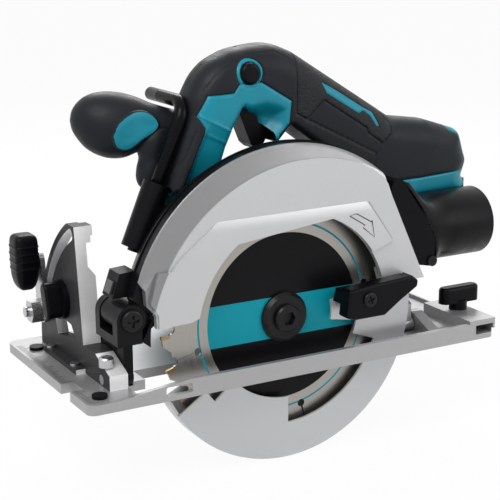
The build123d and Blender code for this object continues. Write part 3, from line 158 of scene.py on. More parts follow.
def cover(tree, under, colour, mask):
    """A colour laid over another where the mask is 1."""
    item = add_node(tree, "ShaderNodeMix", data_type="RGBA")
    item.inputs["B"].default_value = (*colour, 1)
    tree.links.new(under, item.inputs["A"])
    tree.links.new(mask, item.inputs["Factor"])
    return item.outputs["Result"]


def paint_over(tree, bsdf, colour, mask):
    """Lays a colour over the material's own where the mask is 1."""
    under = bsdf.inputs["Base Color"].links[0].from_socket
    tree.links.new(cover(tree, under, colour, mask), bsdf.inputs["Base Color"])


def length(tree, x, z):
    """Length of a vector of the side view."""
    return calc(tree, "SQRT", calc(tree, "ADD", calc(tree, "MULTIPLY", x, x), calc(tree, "MULTIPLY", z, z)))


def moulded(name, colour, rough, bump, scale, spec=0.5, deep=0.0002):
    """Moulded plastic or rubber: fine texture, slight colour drift and uneven gloss."""
    vary = 0.10
    mat, tree, bsdf = shader(name, colour, rough, spec=spec)
    plain = object_coords(tree)
    drift = noise(tree, plain, 45.0, 3.0)
    tree.links.new(tint(tree, drift, shade(colour, 1 - vary), shade(colour, 1 + vary)), bsdf.inputs["Base Color"])
    tree.links.new(spread(tree, noise(tree, plain, 160.0), rough - 0.07, rough + 0.07), bsdf.inputs["Roughness"])
    grain(tree, bsdf, noise(tree, plain, scale, 2.0, 0.6), bump, deep)
    return mat


def painted(name, colour, rough, metal, spec=0.5):
    """Painted casting: fine flake and a soft orange peel."""
    flake = 0.05
    mat, tree, bsdf = shader(name, colour, rough, metal, spec)
    plain = object_coords(tree)
    drift = noise(tree, plain, 1400.0, 2.0)
    tree.links.new(tint(tree, drift, shade(colour, 1 - flake), shade(colour, 1 + flake)), bsdf.inputs["Base Color"])
    tree.links.new(spread(tree, noise(tree, plain, 70.0), rough - 0.05, rough + 0.06), bsdf.inputs["Roughness"])
    grain(tree, bsdf, noise(tree, plain, 420.0, 2.0), 0.02, 0.0002)
    return mat


def brushed(name, colour, rough, along=(1, 1, 1)):
    """Bare metal with a fine grain, drawn into lines across an axis that has a larger scale."""
    mat, tree, bsdf = shader(name, colour, rough, metal=1.0)
    lines = noise(tree, object_coords(tree, along), 500.0, 6.0, 0.7)
    tree.links.new(tint(tree, lines, shade(colour, 0.86), shade(colour, 1.1)), bsdf.inputs["Base Color"])
    tree.links.new(spread(tree, lines, rough - 0.08, rough + 0.1), bsdf.inputs["Roughness"])
    grain(tree, bsdf, lines, 0.08, 0.0002)
    return mat


def printed_blade(name, centre, disc_radius, ring_radius, ring_half, band_half):
    """Ground steel with a printed disc, a band across it and a thin ring, on the outer side only."""
    steel_colour = (0.36, 0.345, 0.32)
    mat, tree, bsdf = shader(name, steel_colour, 0.34, 1.0, spec=0.12)
    split = add_node(tree, "ShaderNodeSeparateXYZ")
    tree.links.new(object_coords(tree), split.inputs[0])
    x, y, rise = split.outputs["X"], split.outputs["Y"], calc(tree, "SUBTRACT", split.outputs["Z"], centre)
    radius = length(tree, x, rise)
    rings = add_node(tree, "ShaderNodeCombineXYZ")
    tree.links.new(calc(tree, "MULTIPLY", radius, 2600.0), rings.inputs[0])
    tree.links.new(calc(tree, "MULTIPLY", calc(tree, "ARCTAN2", rise, x), 1.5), rings.inputs[1])
    lines = noise(tree, rings.outputs[0], 1.0, 3.0, 0.6)
    outer = calc(tree, "LESS_THAN", y, -0.3 * MM)
    disc = calc(tree, "MULTIPLY", calc(tree, "LESS_THAN", radius, disc_radius), outer)
    band = calc(tree, "MULTIPLY", calc(tree, "LESS_THAN", calc(tree, "ABSOLUTE", rise), band_half), disc)
    ring = calc(tree, "MULTIPLY", calc(tree, "COMPARE", radius, ring_radius, ring_half), outer)
    colour = tint(tree, lines, shade(steel_colour, 0.84), shade(steel_colour, 1.12))
    colour = cover(tree, colour, (0.003, 0.003, 0.004), disc)
    colour = cover(tree, colour, (0.005, 0.30, 0.38), calc(tree, "MAXIMUM", band, ring))
    tree.links.new(colour, bsdf.inputs["Base Color"])
    ink = calc(tree, "MAXIMUM", disc, ring)
    tree.links.new(calc(tree, "SUBTRACT", 1.0, ink), bsdf.inputs["Metallic"])
    tree.links.new(spread(tree, lines, 0.26, 0.40), bsdf.inputs["Roughness"])
    grain(tree, bsdf, lines, 0.05, 0.0002)
    return mat


def shaded_by_facing(name, colour, rough, metal, painted_shade_colour):
    """Painted casting, silver on its faces towards the blade side and the tail; its other faces are dark, partly its
    own dark paint and partly painted shade of faces turned from the light.
    """
    mat = painted(name, colour, rough, metal, spec=0.12)
    tree = mat.node_tree
    bsdf = tree.nodes["Principled BSDF"]
    coords = add_node(tree, "ShaderNodeTexCoord")
    split = add_node(tree, "ShaderNodeSeparateXYZ")
    tree.links.new(coords.outputs["Normal"], split.inputs[0])
    # painted shade: faces that look neither to the blade side nor to the tail get the dark colour
    unshaded = calc(tree, "MAXIMUM", calc(tree, "LESS_THAN", split.outputs["Y"], -0.25),
                  calc(tree, "GREATER_THAN", split.outputs["X"], 0.6))
    paint_over(tree, bsdf, painted_shade_colour, calc(tree, "SUBTRACT", 1.0, unshaded))
    tree.links.new(calc(tree, "MULTIPLY", unshaded, metal), bsdf.inputs["Metallic"])
    return mat


def ring_shaded(name, colour, rough, metal, centre, radius, ring_shade_colour):
    """Painted casting made a darker grey outside a circle of the side view, as painted shade of the sloped outer ring.
    """
    mat = painted(name, colour, rough, metal)
    tree = mat.node_tree
    bsdf = tree.nodes["Principled BSDF"]
    split = add_node(tree, "ShaderNodeSeparateXYZ")
    tree.links.new(object_coords(tree), split.inputs[0])
    x = calc(tree, "SUBTRACT", split.outputs["X"], centre[0])
    z = calc(tree, "SUBTRACT", split.outputs["Z"], centre[1])
    border = 0.6 * MM
    # painted shade: the ring outside the circle gets the darker grey
    paint_over(tree, bsdf, ring_shade_colour, spread(tree, length(tree, x, z), 0, 1, radius, radius + border))
    return mat


silver = painted("silver_casting", (0.52, 0.525, 0.535), 0.34, 0.45)
dark = painted("dark_casting", (0.005, 0.005, 0.006), 0.34, 0.0, spec=0.12)
alloy = painted("bare_aluminium", (0.38, 0.38, 0.385), 0.40, 0.6)
plated = brushed("plated_steel", (0.52, 0.52, 0.53), 0.28, (1, 1, 4))
black_steel = moulded("black_steel", (0.006, 0.006, 0.007), 0.30, 0.1, 900.0, spec=0.2)
gloss_black = moulded("gloss_black", (0.003, 0.003, 0.004), 0.22, 0.04, 700.0, spec=0.08)
carbide = brushed("carbide", (0.34, 0.24, 0.13), 0.35)
teal = moulded("teal_plastic", (0.004, 0.235, 0.320), 0.38, 0.18, 1500.0, spec=0.3)
black = moulded("black_plastic", (0.003, 0.003, 0.004), 0.34, 0.2, 1300.0, spec=0.10)
rubber = moulded("black_rubber", (0.011, 0.012, 0.015), 0.46, 0.30, 1100.0, spec=0.16)
stippled = moulded("stippled_rubber", (0.011, 0.012, 0.014), 0.52, 1.0, 800.0, spec=0.22, deep=0.0008)
copper = brushed("copper", (0.6, 0.3, 0.16), 0.35)
blade_steel = printed_blade("blade_steel", blade_height * MM, disc_radius=0.0522, ring_radius=0.0584, ring_half=0.0006,
                            band_half=0.0130)
# Bevel quadrant: silver casting whose faces turned from the light carry painted shade along with their dark paint
quadrant_paint_and_shade = shaded_by_facing("quadrant_paint_and_shade", (0.95, 0.95, 0.96), 0.38, 0.4, (0.030, 0.030, 0.032))
# Case: silver, with painted shade on the sloped ring outside the raised field
case_paint_and_shade = ring_shaded("case_paint_and_shade", (0.53, 0.535, 0.54), 0.34, 0.45, [c * MM for c in field_centre], field_radius * MM,
                    (0.25, 0.25, 0.255))
lens = moulded("lens", (0.05, 0.05, 0.055), 0.12, 0.05, 600.0)

by_slot = {
    "silver_casting": silver, "dark_casting": dark, "bare_aluminium": alloy, "plated_steel": plated,
    "blade_steel": blade_steel, "carbide": carbide, "black_steel": black_steel, "teal_plastic": teal,
    "black_plastic": black, "black_rubber": rubber, "copper": copper, "lens": lens,
}
for entry in frame["record"]["subparts"]:
    mesh = nodes[entry["node"]].data
    mesh.materials.clear()
    mesh.materials.append(by_slot[entry["material_slot"]])
nodes["bevel_quadrant"].data.materials[0] = quadrant_paint_and_shade
nodes["depth_pivot_pin"].data.materials[0] = black_steel

# Edges that the moulds and castings break: width of the rounding in metres
broken_edges = {
    "base_plate": 0.0007, "bevel_quadrant": 0.0007, "tilt_bracket": 0.0007, "rear_pivot_bracket": 0.0006,
    "rear_tilt_bracket": 0.0006, "guard_lever": 0.0009, "lamp_housing": 0.0009, "trigger": 0.0012,
    "fence_wing_screw": 0.0008, "depth_lever": 0.0008, "stop_dial": 0.0006, "hook_sleeve": 0.0006,
    "motor_end_cover": 0.0008, "battery_holder": 0.0008, "lower_guard": 0.0004,
}
for name, width in broken_edges.items():
    rounding = nodes[name].modifiers.new("broken_edges", "BEVEL")
    rounding.width = width
    rounding.segments = 3
    rounding.limit_method = "ANGLE"
    rounding.angle_limit = math.radians(35)
    rounding.harden_normals = True


# Small tools for meshes. Outlines are drawn in millimetres in the side view, as (x, z)
line_step = 1.2  # longest segment of a drawn line


def piece(name, points, faces, material, body, smooth=True):
    """Mesh object from points in metres, riding on a body."""
    mesh = bpy.data.meshes.new(name)
    mesh.from_pydata([tuple(map(float, p)) for p in points], [], [tuple(map(int, f)) for f in faces])
    tidy = bmesh.new()
    tidy.from_mesh(mesh)
    bmesh.ops.remove_doubles(tidy, verts=tidy.verts, dist=2e-6)
    bmesh.ops.delete(tidy, geom=[v for v in tidy.verts if not v.link_faces], context="VERTS")
    tidy.to_mesh(mesh)
    tidy.free()
    mesh.shade_smooth() if smooth else mesh.shade_flat()
    mesh.materials.append(material)
    item = bpy.data.objects.new(name, mesh)
    bpy.context.scene.collection.objects.link(item)
    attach(item, body)
    return item


def resample(points, step=line_step, closed=True):
    """Same line with no segment longer than the step."""
    points = [np.asarray(p, float) for p in points]
    ends = points[1:] + points[:1] if closed else points[1:]
    out = []
    for a, b in zip(points, ends):
        count = max(1, math.ceil(np.linalg.norm(b - a) / step))
        out += [a + (b - a) * i / count for i in range(count)]
    return np.array(out if closed else out + [points[-1]])


def rounded(points, radius):
    """Closed outline with its corners rounded."""
    points = [np.asarray(p, float) for p in points]
    out = []
    for i, corner in enumerate(points):
        back, ahead = points[i - 1] - corner, points[(i + 1) % len(points)] - corner
        long_back, long_ahead = np.linalg.norm(back), np.linalg.norm(ahead)
        back, ahead = back / long_back, ahead / long_ahead
        half = math.acos(np.clip(back @ ahead, -1, 1)) / 2
        reach = min(radius / math.tan(half), 0.48 * long_back, 0.48 * long_ahead)
        for t in np.linspace(0, 1, 9):
            out.append((1 - t) ** 2 * (corner + back * reach) + 2 * t * (1 - t) * corner
                       + t * t * (corner + ahead * reach))
    return resample(out)


def circle(centre, radius):
    """Points of a circle, a short step apart."""
    step = 0.8
    turn = np.linspace(0, 2 * math.pi, max(16, int(2 * math.pi * radius / step)), endpoint=False)
    return np.stack([centre[0] + radius * np.cos(turn), centre[1] + radius * np.sin(turn)], 1)


def distance(points, line, closed=True):
    """Distance from each point to a line."""
    start = line if closed else line[:-1]
    end = np.roll(line, -1, 0) if closed else line[1:]
    least = np.full(len(points), 1e9)
    for a, b in zip(start, end):
        along = b - a
        t = np.clip(((points - a) @ along) / max(along @ along, 1e-12), 0, 1)
        least = np.minimum(least, np.linalg.norm(points - a - t[:, None] * along, axis=1))
    return least


def inside(points, line):
    """Which points lie inside a closed line."""
    odd = np.zeros(len(points), bool)
    x, z = points[:, 0], points[:, 1]
    for (ax, az), (bx, bz) in zip(line, np.roll(line, -1, 0)):
        if az != bz:
            odd ^= ((az > z) != (bz > z)) & (x < (bx - ax) * (z - az) / (bz - az) + ax)
    return odd


def offset(line, amount, closed=True):
    """The line moved sideways, to its left for positive amounts."""
    ahead = np.roll(line, -1, 0) - np.roll(line, 1, 0)
    if not closed:
        ahead[0], ahead[-1] = line[1] - line[0], line[-1] - line[-2]
    ahead /= np.maximum(np.linalg.norm(ahead, axis=1, keepdims=True), 1e-9)
    return line + amount * np.stack([-ahead[:, 1], ahead[:, 0]], 1)


def ease(t):
    """From 0 to 1 with a soft start and end."""
    t = np.clip(t, 0, 1)
    return t * t * (3 - 2 * t)


def recast(name, node, move, material, body):
    """Stands for a CAD node: its own faces, with the points moved by a function of them in millimetres."""
    source = nodes[node].data
    points = np.empty(len(source.vertices) * 3)
    source.vertices.foreach_get("co", points)
    faces = [tuple(face.vertices) for face in source.polygons]
    item = piece(name, move(points.reshape(-1, 3) / MM) * MM, faces, material, body)
    item.data.set_sharp_from_angle(angle=math.radians(32))
    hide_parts(node)


def ribbon(name, line, width, y, material, body, closed=True):
    """Thin raised line on a face that looks towards the blade side, drawn in the side view."""
    raised = 0.12
    line = np.asarray(line, float)
    left, right = offset(line, width / 2, closed), offset(line, -width / 2, closed)
    count = len(line)
    points = [np.array((p[0], depth, p[1])) * MM for depth in (y, y - raised) for rail in (left, right) for p in rail]
    faces = []
    for i in range(count if closed else count - 1):
        j = (i + 1) % count
        a, b, c, d = 2 * count + i, 2 * count + j, 3 * count + j, 3 * count + i
        faces += [(a, b, c, d), (i, j, b, a), (count + j, count + i, d, c)]
    piece(name, points, faces, material, body, smooth=False)


def swept(centres, sides, ups, turn=40, boxy=1.0):
    """Closed skin through a row of sections, each with a centre and two half axes as vectors.

    The sections are ellipses, or nearer to rectangles when boxy is below 1.
    """
    angle = np.linspace(0, 2 * math.pi, turn, endpoint=False)
    along = np.sign(np.cos(angle)) * np.abs(np.cos(angle)) ** boxy
    aside = np.sign(np.sin(angle)) * np.abs(np.sin(angle)) ** boxy
    points = [c + p * s + q * u for c, s, u in zip(centres, sides, ups) for p, q in zip(along, aside)]
    faces = []
    for i in range(len(centres) - 1):
        for k in range(turn):
            m = (k + 1) % turn
            faces.append((i * turn + k, i * turn + m, (i + 1) * turn + m, (i + 1) * turn + k))
    faces += [tuple(reversed(range(turn))), tuple((len(centres) - 1) * turn + k for k in range(turn))]
    return points, faces


def smooth_row(rows, count):
    """Rows of numbers joined by a smooth curve through them."""
    rows = np.asarray(rows, float)
    padded_rows = np.vstack([2 * rows[0] - rows[1], rows, 2 * rows[-1] - rows[-2]])
    out = []
    for t in np.linspace(0, len(rows) - 1, count):
        i = min(int(t), len(rows) - 2)
        f = t - i
        a, b, c, d = padded_rows[i:i + 4]
        out.append(0.5 * (2 * b + (c - a) * f + (2 * a - 5 * b + 4 * c - d) * f**2 + (3 * b - a - 3 * c + d) * f**3))
    return np.array(out)


def on_face(tree, spots, lift):
    """Points of the side view carried onto a skin from the blade side, and lifted off it by so much."""
    out = []
    for (x, z), up in zip(spots, np.broadcast_to(lift, len(spots))):
        spot, normal, _, _ = tree.ray_cast(Vector((x * MM, -0.2, z * MM)), Vector((0, 1, 0)))
        if spot:
            spot = spot - normal * math.copysign(up * MM, normal.y)
        out.append(spot)
    return out


def patch(name, outline, tree, lift, material, body):
    """A patch on a skin inside an outline of the side view; lift gives its height from the distance to the edge."""
    step = 1.3
    inner = [offset(outline, s * r) for s in (-1, 1) for r in (0.35, 0.8, 1.6)]
    low, high = outline.min(0), outline.max(0)
    grid = np.meshgrid(np.arange(low[0], high[0], step), np.arange(low[1], high[1], step))
    loose = np.vstack(inner + [np.stack([g.ravel() for g in grid], 1)])
    loose = loose[inside(loose, outline) & (distance(loose, outline) > 0.2)]
    count = len(outline)
    links = [(i, (i + 1) % count) for i in range(count)]
    spots, _, tris, _, _, _ = delaunay_2d_cdt([Vector(p) for p in list(outline) + list(loose)], links, [], 0, 1e-4)
    spots = np.array([tuple(p) for p in spots])
    tris = np.array(tris)
    tris = tris[inside(spots[tris].mean(1), outline)]
    points = on_face(tree, spots, lift(distance(spots, outline)))
    faces = [tuple(t) for t in tris if all(points[i] is not None for i in t)]
    return piece(name, [p if p is not None else (0, 0, 0) for p in points], faces, material, body)


def skin(node):
    """Tree of a CAD node's faces, for casting rays."""
    mesh = nodes[node].data
    return BVHTree.FromPolygons([v.co for v in mesh.vertices], [tuple(f.vertices) for f in mesh.polygons])


# Handle: two moulded halves, hard shell and soft grip, with seams, dished trigger side and panel lines
handle_y, handle_half = 30.0, 17.5
edge_round, opening_round = 15.0, 4.0
arch_passes = 60  # of smoothing along the arch
dish_depth, dish_reach = 8.4, 10.5
leg_drop, leg_reach, leg_taper, tail_taper = 2.6, 9.0, 0.12, 0.16
stipple_rise, shell_rise, border_reach = 0.35, 0.2, 0.8
ridge_height, ridge_reach, seam_reach = 0.5, 1.1, 0.75
loop_line = rounded([
    (-66, 88), (-69, 114), (-57, 146), (-53, 156), (-50.5, 166), (-43.5, 178.6), (-35, 186.4), (-22, 192),
    (-8, 194.2), (6, 195), (20, 189), (93, 143.6), (120.5, 139.6), (149, 130.6), (157.5, 110), (151, 91.5),
    (97, 92), (92, 72), (64, 62), (61, 37), (32, 37), (30, 78), (20, 88),
], 9)
arch = (loop_line[:, 0] < 16) & (loop_line[:, 1] > 150)
for _ in range(arch_passes):
    loop_line[arch] = ((np.roll(loop_line, 1, 0) + 2 * loop_line + np.roll(loop_line, -1, 0)) / 4)[arch]
# The lower rim meets the housing and is rounded less; the upper one starts where the lower one ends
is_low = (loop_line[:, 1] < 99) & (loop_line[:, 0] > 0)
lower_end = np.flatnonzero(is_low)[-1] + 1
low_rim = loop_line[is_low]
high_rim = np.roll(loop_line, -lower_end, 0)[~np.roll(is_low, -lower_end)]
opening_line = rounded([
    (-37, 108), (-31.5, 126.5), (-26, 146), (-18, 160), (-6, 152), (-1, 137.6), (5.5, 136.4), (14.5, 146),
    (34, 132), (60, 114), (52, 108), (-36, 104),
], 2.5)
button_place = (-14.6, 179.0)
button_line = circle(button_place, 6.8)
ring_line = circle(button_place, 8.6)
shell_line = resample([
    (-58.8, 114.6), (-52.2, 129.2), (-44.4, 146.1), (-43.9, 149.1), (-48, 155.8), (-41.4, 167.4),
    (-25.1, 168.1), (-21.8, 172.6), (-14.6, 176), (-6.6, 173.2), (14, 160.7), (12.4, 147.3), (6, 141), (3.6, 130),
    (-20, 106), (60, 104), (97, 103.7), (150.6, 104.3), (153.4, 110.6), (145.8, 128), (138, 131.4), (138, 140),
    (170, 125), (165, 30), (-80, 30), (-80, 105),
])
accent_line = resample([
    (36.1, 170.3), (38.7, 163.7), (62.4, 149.4), (66.6, 150.8), (71.9, 146.8), (75.7, 140.3), (78, 140.2),
    (73.9, 148.9), (66, 153), (47.3, 164.3),
])
stipple_line = resample([
    (18.4, 200), (17.8, 152.9), (24.2, 149), (36.7, 159.6), (67.8, 140.1), (70, 136.4), (80.2, 129.3), (87.6, 134.9),
    (88, 139.7), (81.9, 147.3), (90, 165),
])
panel_line = resample([(24.2, 149), (76.1, 123), (70, 105)], closed=False)
rim_crease = resample([(-47.5, 160), (-42.9, 170.7), (-36.8, 177.5), (-29.2, 183), (-21.5, 186.6), (-13, 189.6),
                       (4, 190.5), (17, 184)], closed=False)
grip_end = resample([(80.2, 129.3), (76.1, 123), (70, 116)], closed=False)
front_strip = resample([(-49.2, 147), (-55.4, 133.6), (-63.5, 121.6)], closed=False)
leg_step = np.array([(-46.5, 155.6), (-27.3, 145.6)])
leg_foot = np.array([(-43.6, 145.3), (-29.7, 138.6)])
tail_crease = np.array([(127.8, 131.8), (111.9, 105.4)])
dish_line = np.array([(-20.5, 150.5), (-17.5, 157.6), (-12.5, 161.4), (-4.1, 162.7), (5, 160.6), (12, 157),
                      (11.2, 146), (4.5, 139)])
dish_area = np.vstack([dish_line, [(-4, 128), (-22, 142)]])
slot_area = resample([(-24, 151), (-17, 151), (-9.1, 150.4), (-2, 147), (2.6, 142.6), (3.4, 137), (0, 128),
                      (-22, 138)], 0.8)


def beyond(points, line):
    """How far points lie to the right of a straight line, looking along it."""
    along = (line[1] - line[0]) / np.linalg.norm(line[1] - line[0])
    return (points - line[0]) @ np.array([along[1], -along[0]])


def union_border(line, *others):
    """The points of a zone's border that no other zone of the same kind covers."""
    keep = np.ones(len(line), bool)
    for other in others:
        keep &= ~inside(line, other)
    return line[keep]


def over_edge(away, radius):
    """Half thickness of the handle that far from an edge rounded by the radius."""
    return handle_half - radius + np.sqrt(radius**2 - (radius - np.minimum(away, radius)) ** 2)


def handle_height(points):
    """Half thickness of the handle over each point of the side view."""
    height = over_edge(distance(points, high_rim, closed=False), edge_round)
    height = np.minimum(height, over_edge(distance(points, low_rim, closed=False), opening_round))
    height = np.minimum(height, over_edge(distance(points, opening_line), opening_round))
    shell = inside(points, shell_line) | inside(points, ring_line)
    dish = np.where(inside(points, dish_area), distance(points, dish_line, closed=False), 0)
    height -= dish_depth * ease(dish / dish_reach)
    within = np.where(shell, np.minimum(distance(points, shell_line), distance(points, ring_line)), 0)
    leg = ease(within / 1.6) * ((points[:, 0] < -20) & (points[:, 1] < 160))
    height -= leg * leg_drop * np.clip(beyond(points, leg_step) / leg_reach, 0, 1)
    height -= leg * leg_taper * np.clip(beyond(points, leg_foot), 0, 30)
    height -= np.where(points[:, 0] > 100, tail_taper * np.clip(-beyond(points, tail_crease), 0, 30), 0)
    soft = np.where(inside(points, stipple_line), distance(points, stipple_line), 0)
    height += stipple_rise * ease(soft / border_reach) + shell_rise * ease(within / border_reach)
    for ridge in (leg_step, leg_foot):
        height += leg * ridge_height * ease(1 - distance(points, ridge, closed=False) / ridge_reach)
    for seam, depth in handle_seams:
        height -= depth * ease(1 - distance(points, seam, closed=False) / seam_reach)
    return np.maximum(height, 0.3)


def chained(line):
    """A closed line as an open one that ends where it starts."""
    return np.vstack([line, line[:1]])


handle_seams = [
    (union_border(shell_line, ring_line), 0.7), (union_border(ring_line, shell_line), 0.7),
    (chained(accent_line), 0.6), (chained(stipple_line), 0.5), (panel_line, 0.5), (rim_crease, 0.35),
    (grip_end, 0.5), (front_strip, 0.5),
]


def handle_net():
    """Triangles of the side view, with every border and crease along triangle edges."""
    spots, links = [], []

    def lay(line, closed):
        first = len(spots)
        spots.extend(map(tuple, line))
        count = len(line)
        links.extend((first + i, first + (i + 1) % count) for i in range(count if closed else count - 1))

    borders = (ring_line, shell_line, accent_line, stipple_line, button_line)
    creases = [panel_line, rim_crease, grip_end, front_strip]
    creases += [resample(line, closed=False) for line in (leg_step, leg_foot, tail_crease)]
    for line in (loop_line, opening_line, button_line, ring_line, shell_line, accent_line, stipple_line, slot_area):
        lay(line, True)
    for line in creases:
        lay(line, False)
    loose = [offset(loop_line, s * r) for s in (-1, 1) for r in (0.12, 0.5, 1.1, 2.0, 3.2, 4.8, 6.8, 9.2)]
    loose += [offset(opening_line, s * r) for s in (-1, 1) for r in (0.1, 0.5, 1.2, 2.2, 3.5)]
    for line in borders:
        loose += [offset(line, seam_reach), offset(line, -seam_reach)]
    for line in creases[:-1]:
        loose += [offset(line, seam_reach, False), offset(line, -seam_reach, False)]
    grid_x, grid_z = np.meshgrid(np.arange(-70, 156, 1.9), np.arange(36, 196, 1.9))
    loose.append(np.stack([grid_x.ravel() + 0.3 * np.sin(grid_z.ravel()), grid_z.ravel()], 1))
    loose = np.vstack(loose)
    fixed = np.array(spots)
    near = KDTree(len(fixed))
    for i, p in enumerate(fixed):
        near.insert((p[0], p[1], 0), i)
    near.balance()
    loose = loose[inside(loose, loop_line) & ~inside(loose, opening_line)]
    loose = [p for p in loose if near.find((p[0], p[1], 0))[2] > 0.09]
    corners = [Vector(p) for p in list(fixed) + loose]
    points, _, triangles, _, _, _ = delaunay_2d_cdt(corners, links, [], 0, 1e-4)
    return np.array([tuple(p) for p in points]), np.array(triangles)


net, triangles = handle_net()
middle = net[triangles].mean(1)
wanted = inside(middle, loop_line) & ~inside(middle, opening_line) & ~inside(middle, slot_area)
triangles, middle = triangles[wanted], middle[wanted]
net_height = handle_height(net)

SOFT, STIPPLED, SHELL = range(3)


def kinds_at(points):
    """Kind of surface at each point of the side view."""
    shell = inside(points, shell_line) | inside(points, ring_line) | inside(points, accent_line)
    return np.where(shell, SHELL, np.where(inside(points, stipple_line), STIPPLED, SOFT))


under_button = inside(middle, button_line)
wall_lines = [chained(loop_line), chained(opening_line)]


def handle_piece(name, side, kind, material, node=None):
    """One kind of surface of one half of the handle, with the walls along its rim and openings.

    The button sits in the half on the blade side only.
    """
    points = list(np.stack([net[:, 0], handle_y + side * net_height, net[:, 1]], 1) * MM)
    turn = slice(None) if side < 0 else slice(None, None, -1)
    faces = [tuple(f[turn]) for f in triangles[(kinds_at(middle) == kind) & ~(under_button & (side < 0))]]
    for line in wall_lines + ([chained(button_line)] if side < 0 else []):
        tops = handle_height(line)
        mids = (line[1:] + line[:-1]) / 2
        for i in np.flatnonzero((kinds_at(mids) == kind) & ~inside(mids, slot_area)):
            a, b = line[i], line[i + 1]
            first = len(points)
            points += [np.array((a[0], handle_y + side * tops[i], a[1])) * MM,
                       np.array((b[0], handle_y + side * tops[i + 1], b[1])) * MM,
                       np.array((b[0], handle_y, b[1])) * MM, np.array((a[0], handle_y, a[1])) * MM]
            faces.append((first, first + 1, first + 2, first + 3))
    item = piece(name, points, faces, material, "saw_head")
    if node:
        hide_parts(node)


for half, side in (("left", -1), ("right", 1)):
    handle_piece(f"handle_shell_{half}", side, SHELL, teal, f"handle_{half}")
    handle_piece(f"handle_soft_{half}", side, SOFT, rubber, f"grip_{half}")
    handle_piece(f"handle_stipple_{half}", side, STIPPLED, stippled)


# Gear housing: its round rim falls away behind the bead
case_x, case_z, case_radius, rim_fall = -2.0, 36.0, 104.0, 5.2


def fall_away(points):
    """Draws the rear rim in towards the axis of the case."""
    points = points.copy()
    across = points[:, [0, 2]] - (case_x, case_z)
    reach = np.linalg.norm(across, axis=1)
    rear = (points[:, 1] > 8) & (reach > case_radius - 4) & (reach < case_radius + 1) & (points[:, 2] > 40)
    factor = np.where(rear, (reach - rim_fall) / np.maximum(reach, 1), 1)
    points[:, 0] = case_x + across[:, 0] * factor
    points[:, 2] = case_z + across[:, 1] * factor
    return points


recast("gear_housing_cast", "gear_housing", fall_away, dark, "saw_head")


# Upper guard: the outer ring slopes back from the raised field to the rim
ring_slope, ring_width = 2.8, 9.0
slope_back, slope_depth = -9.0, 4.2  # where the slope starts along Y, and how far forward it grows


def slope_ring(points):
    """Lays the outer ring back, most at the rim where it is widest."""
    points = points.copy()
    side_view = points[:, [0, 2]]
    reach = np.linalg.norm(side_view - (case_x, case_z), axis=1)
    rim = (points[:, 1] > -13.6) & (reach > case_radius - 2.5) & (points[:, 2] > 60)
    width = np.linalg.norm(side_view - field_centre, axis=1) - field_radius
    depth = np.clip((slope_back - points[:, 1]) / slope_depth, 0, 1)
    points[:, 1] += np.where(rim, ring_slope * depth * np.clip((width - 0.5) / ring_width, 0, 1), 0)
    return points


recast("blade_case_cast", "blade_case", slope_ring, case_paint_and_shade, "saw_head")

# Turning arrow on the raised plate of the case, and a darker grey line of painted shade along the crease at the end of
# the plate
plate_y, arrow_width, crease_width, crease_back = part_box("blade_case")[0].y / MM, 0.55, 0.7, 1.75
arrow = [(37.5, 93), (42.5, 93.8), (53.4, 87.4), (53.7, 88.6), (55.6, 77.8), (47.3, 84.6), (48.6, 86)]
ribbon("turning_arrow", arrow, arrow_width, plate_y, black_steel, "saw_head")
plate_end = resample([(52.3, 100.0), (70.2, 74.7), (57.5, 72.0)], closed=False)
ribbon("plate_crease_shade", plate_end, crease_width, plate_y + crease_back, alloy, "saw_head",
       closed=False)

# Front grip: a soft bulb on a curved neck, with a dished inset, and the stem that carries it
bulb_rows = [  # along X: middle height, half height
    (-48, 146, 10.5), (-56, 147.4, 11.4), (-64, 148.6, 13), (-72, 149, 16.4), (-80, 148.8, 19.2), (-88, 149.3, 19.7),
    (-95, 150.2, 18.2), (-101, 151.1, 14.9), (-105.5, 152, 10), (-108, 152.3, 5.4), (-109, 152.4, 0.3),
]
neck_x, neck_y, bulb_lean, bulb_flat = -54.0, 42.0, 0.355, 0.96
bulb_side = np.array((0.335, 0.942, 0))
curve = smooth_row(bulb_rows, 46)
bulb_centres = np.stack([curve[:, 0], neck_y + (neck_x - curve[:, 0]) * bulb_lean, curve[:, 1]], 1)
half = np.maximum(curve[:, 2], 0.3)[:, None]
points, faces = swept(bulb_centres * MM, bulb_side * half * bulb_flat * MM, np.array((0, 0, 1)) * half * MM)
bulb = piece("front_grip_bulb", points, faces, rubber, "saw_head")
bulb_tree = BVHTree.FromPolygons([v.co for v in bulb.data.vertices], [tuple(f.vertices) for f in bulb.data.polygons])

kidney_marks = [
    (-92.8, 145.8), (-89.5, 152.4), (-81.5, 157.2), (-74, 157.6), (-68, 154.6), (-65.4, 150.2), (-68.4, 146.6),
    (-75.5, 143), (-83, 138), (-89.8, 139.4),
]
kidney = smooth_row(kidney_marks + kidney_marks[:1], 91)[:-1]


def rim_lift(away):
    """Height of the rim that far from its edge: up to a bead, then down under the dish."""
    return 1.9 * ease(away / 1.5) - 1.8 * ease((away - 1.5) / 1.2)


def dish_lift(away):
    """Height of the dish that far from its edge."""
    return 1.7 - 1.5 * ease(away / 6.5)


patch("front_grip_rim", offset(kidney, 1.6), bulb_tree, rim_lift, rubber, "saw_head")
inset = patch("front_grip_dish", kidney, bulb_tree, dish_lift, teal, "saw_head")
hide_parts("front_grip_inset")
stem_rows = [  # up the stem: height, middle X, half length, half width
    (110, -60, 9, 6), (113, -64, 10.5, 8), (118, -66, 10.5, 9), (124, -66.5, 9.5, 9), (130, -65, 9.5, 9),
    (136, -65, 11, 9.5), (142, -64, 11, 9.5), (148, -62, 8, 8),
]
stem_y = 40.0
curve = smooth_row(stem_rows, 30)
stem_centres = np.stack([curve[:, 1], np.full(len(curve), stem_y), curve[:, 0]], 1)
points, faces = swept(stem_centres * MM, np.array((0, 1.0, 0)) * curve[:, 3:] * MM,
                      np.array((-1.0, 0, 0)) * curve[:, 2:3] * MM)
stem = piece("front_grip_stem", points, faces, rubber, "saw_head")
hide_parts("front_grip")

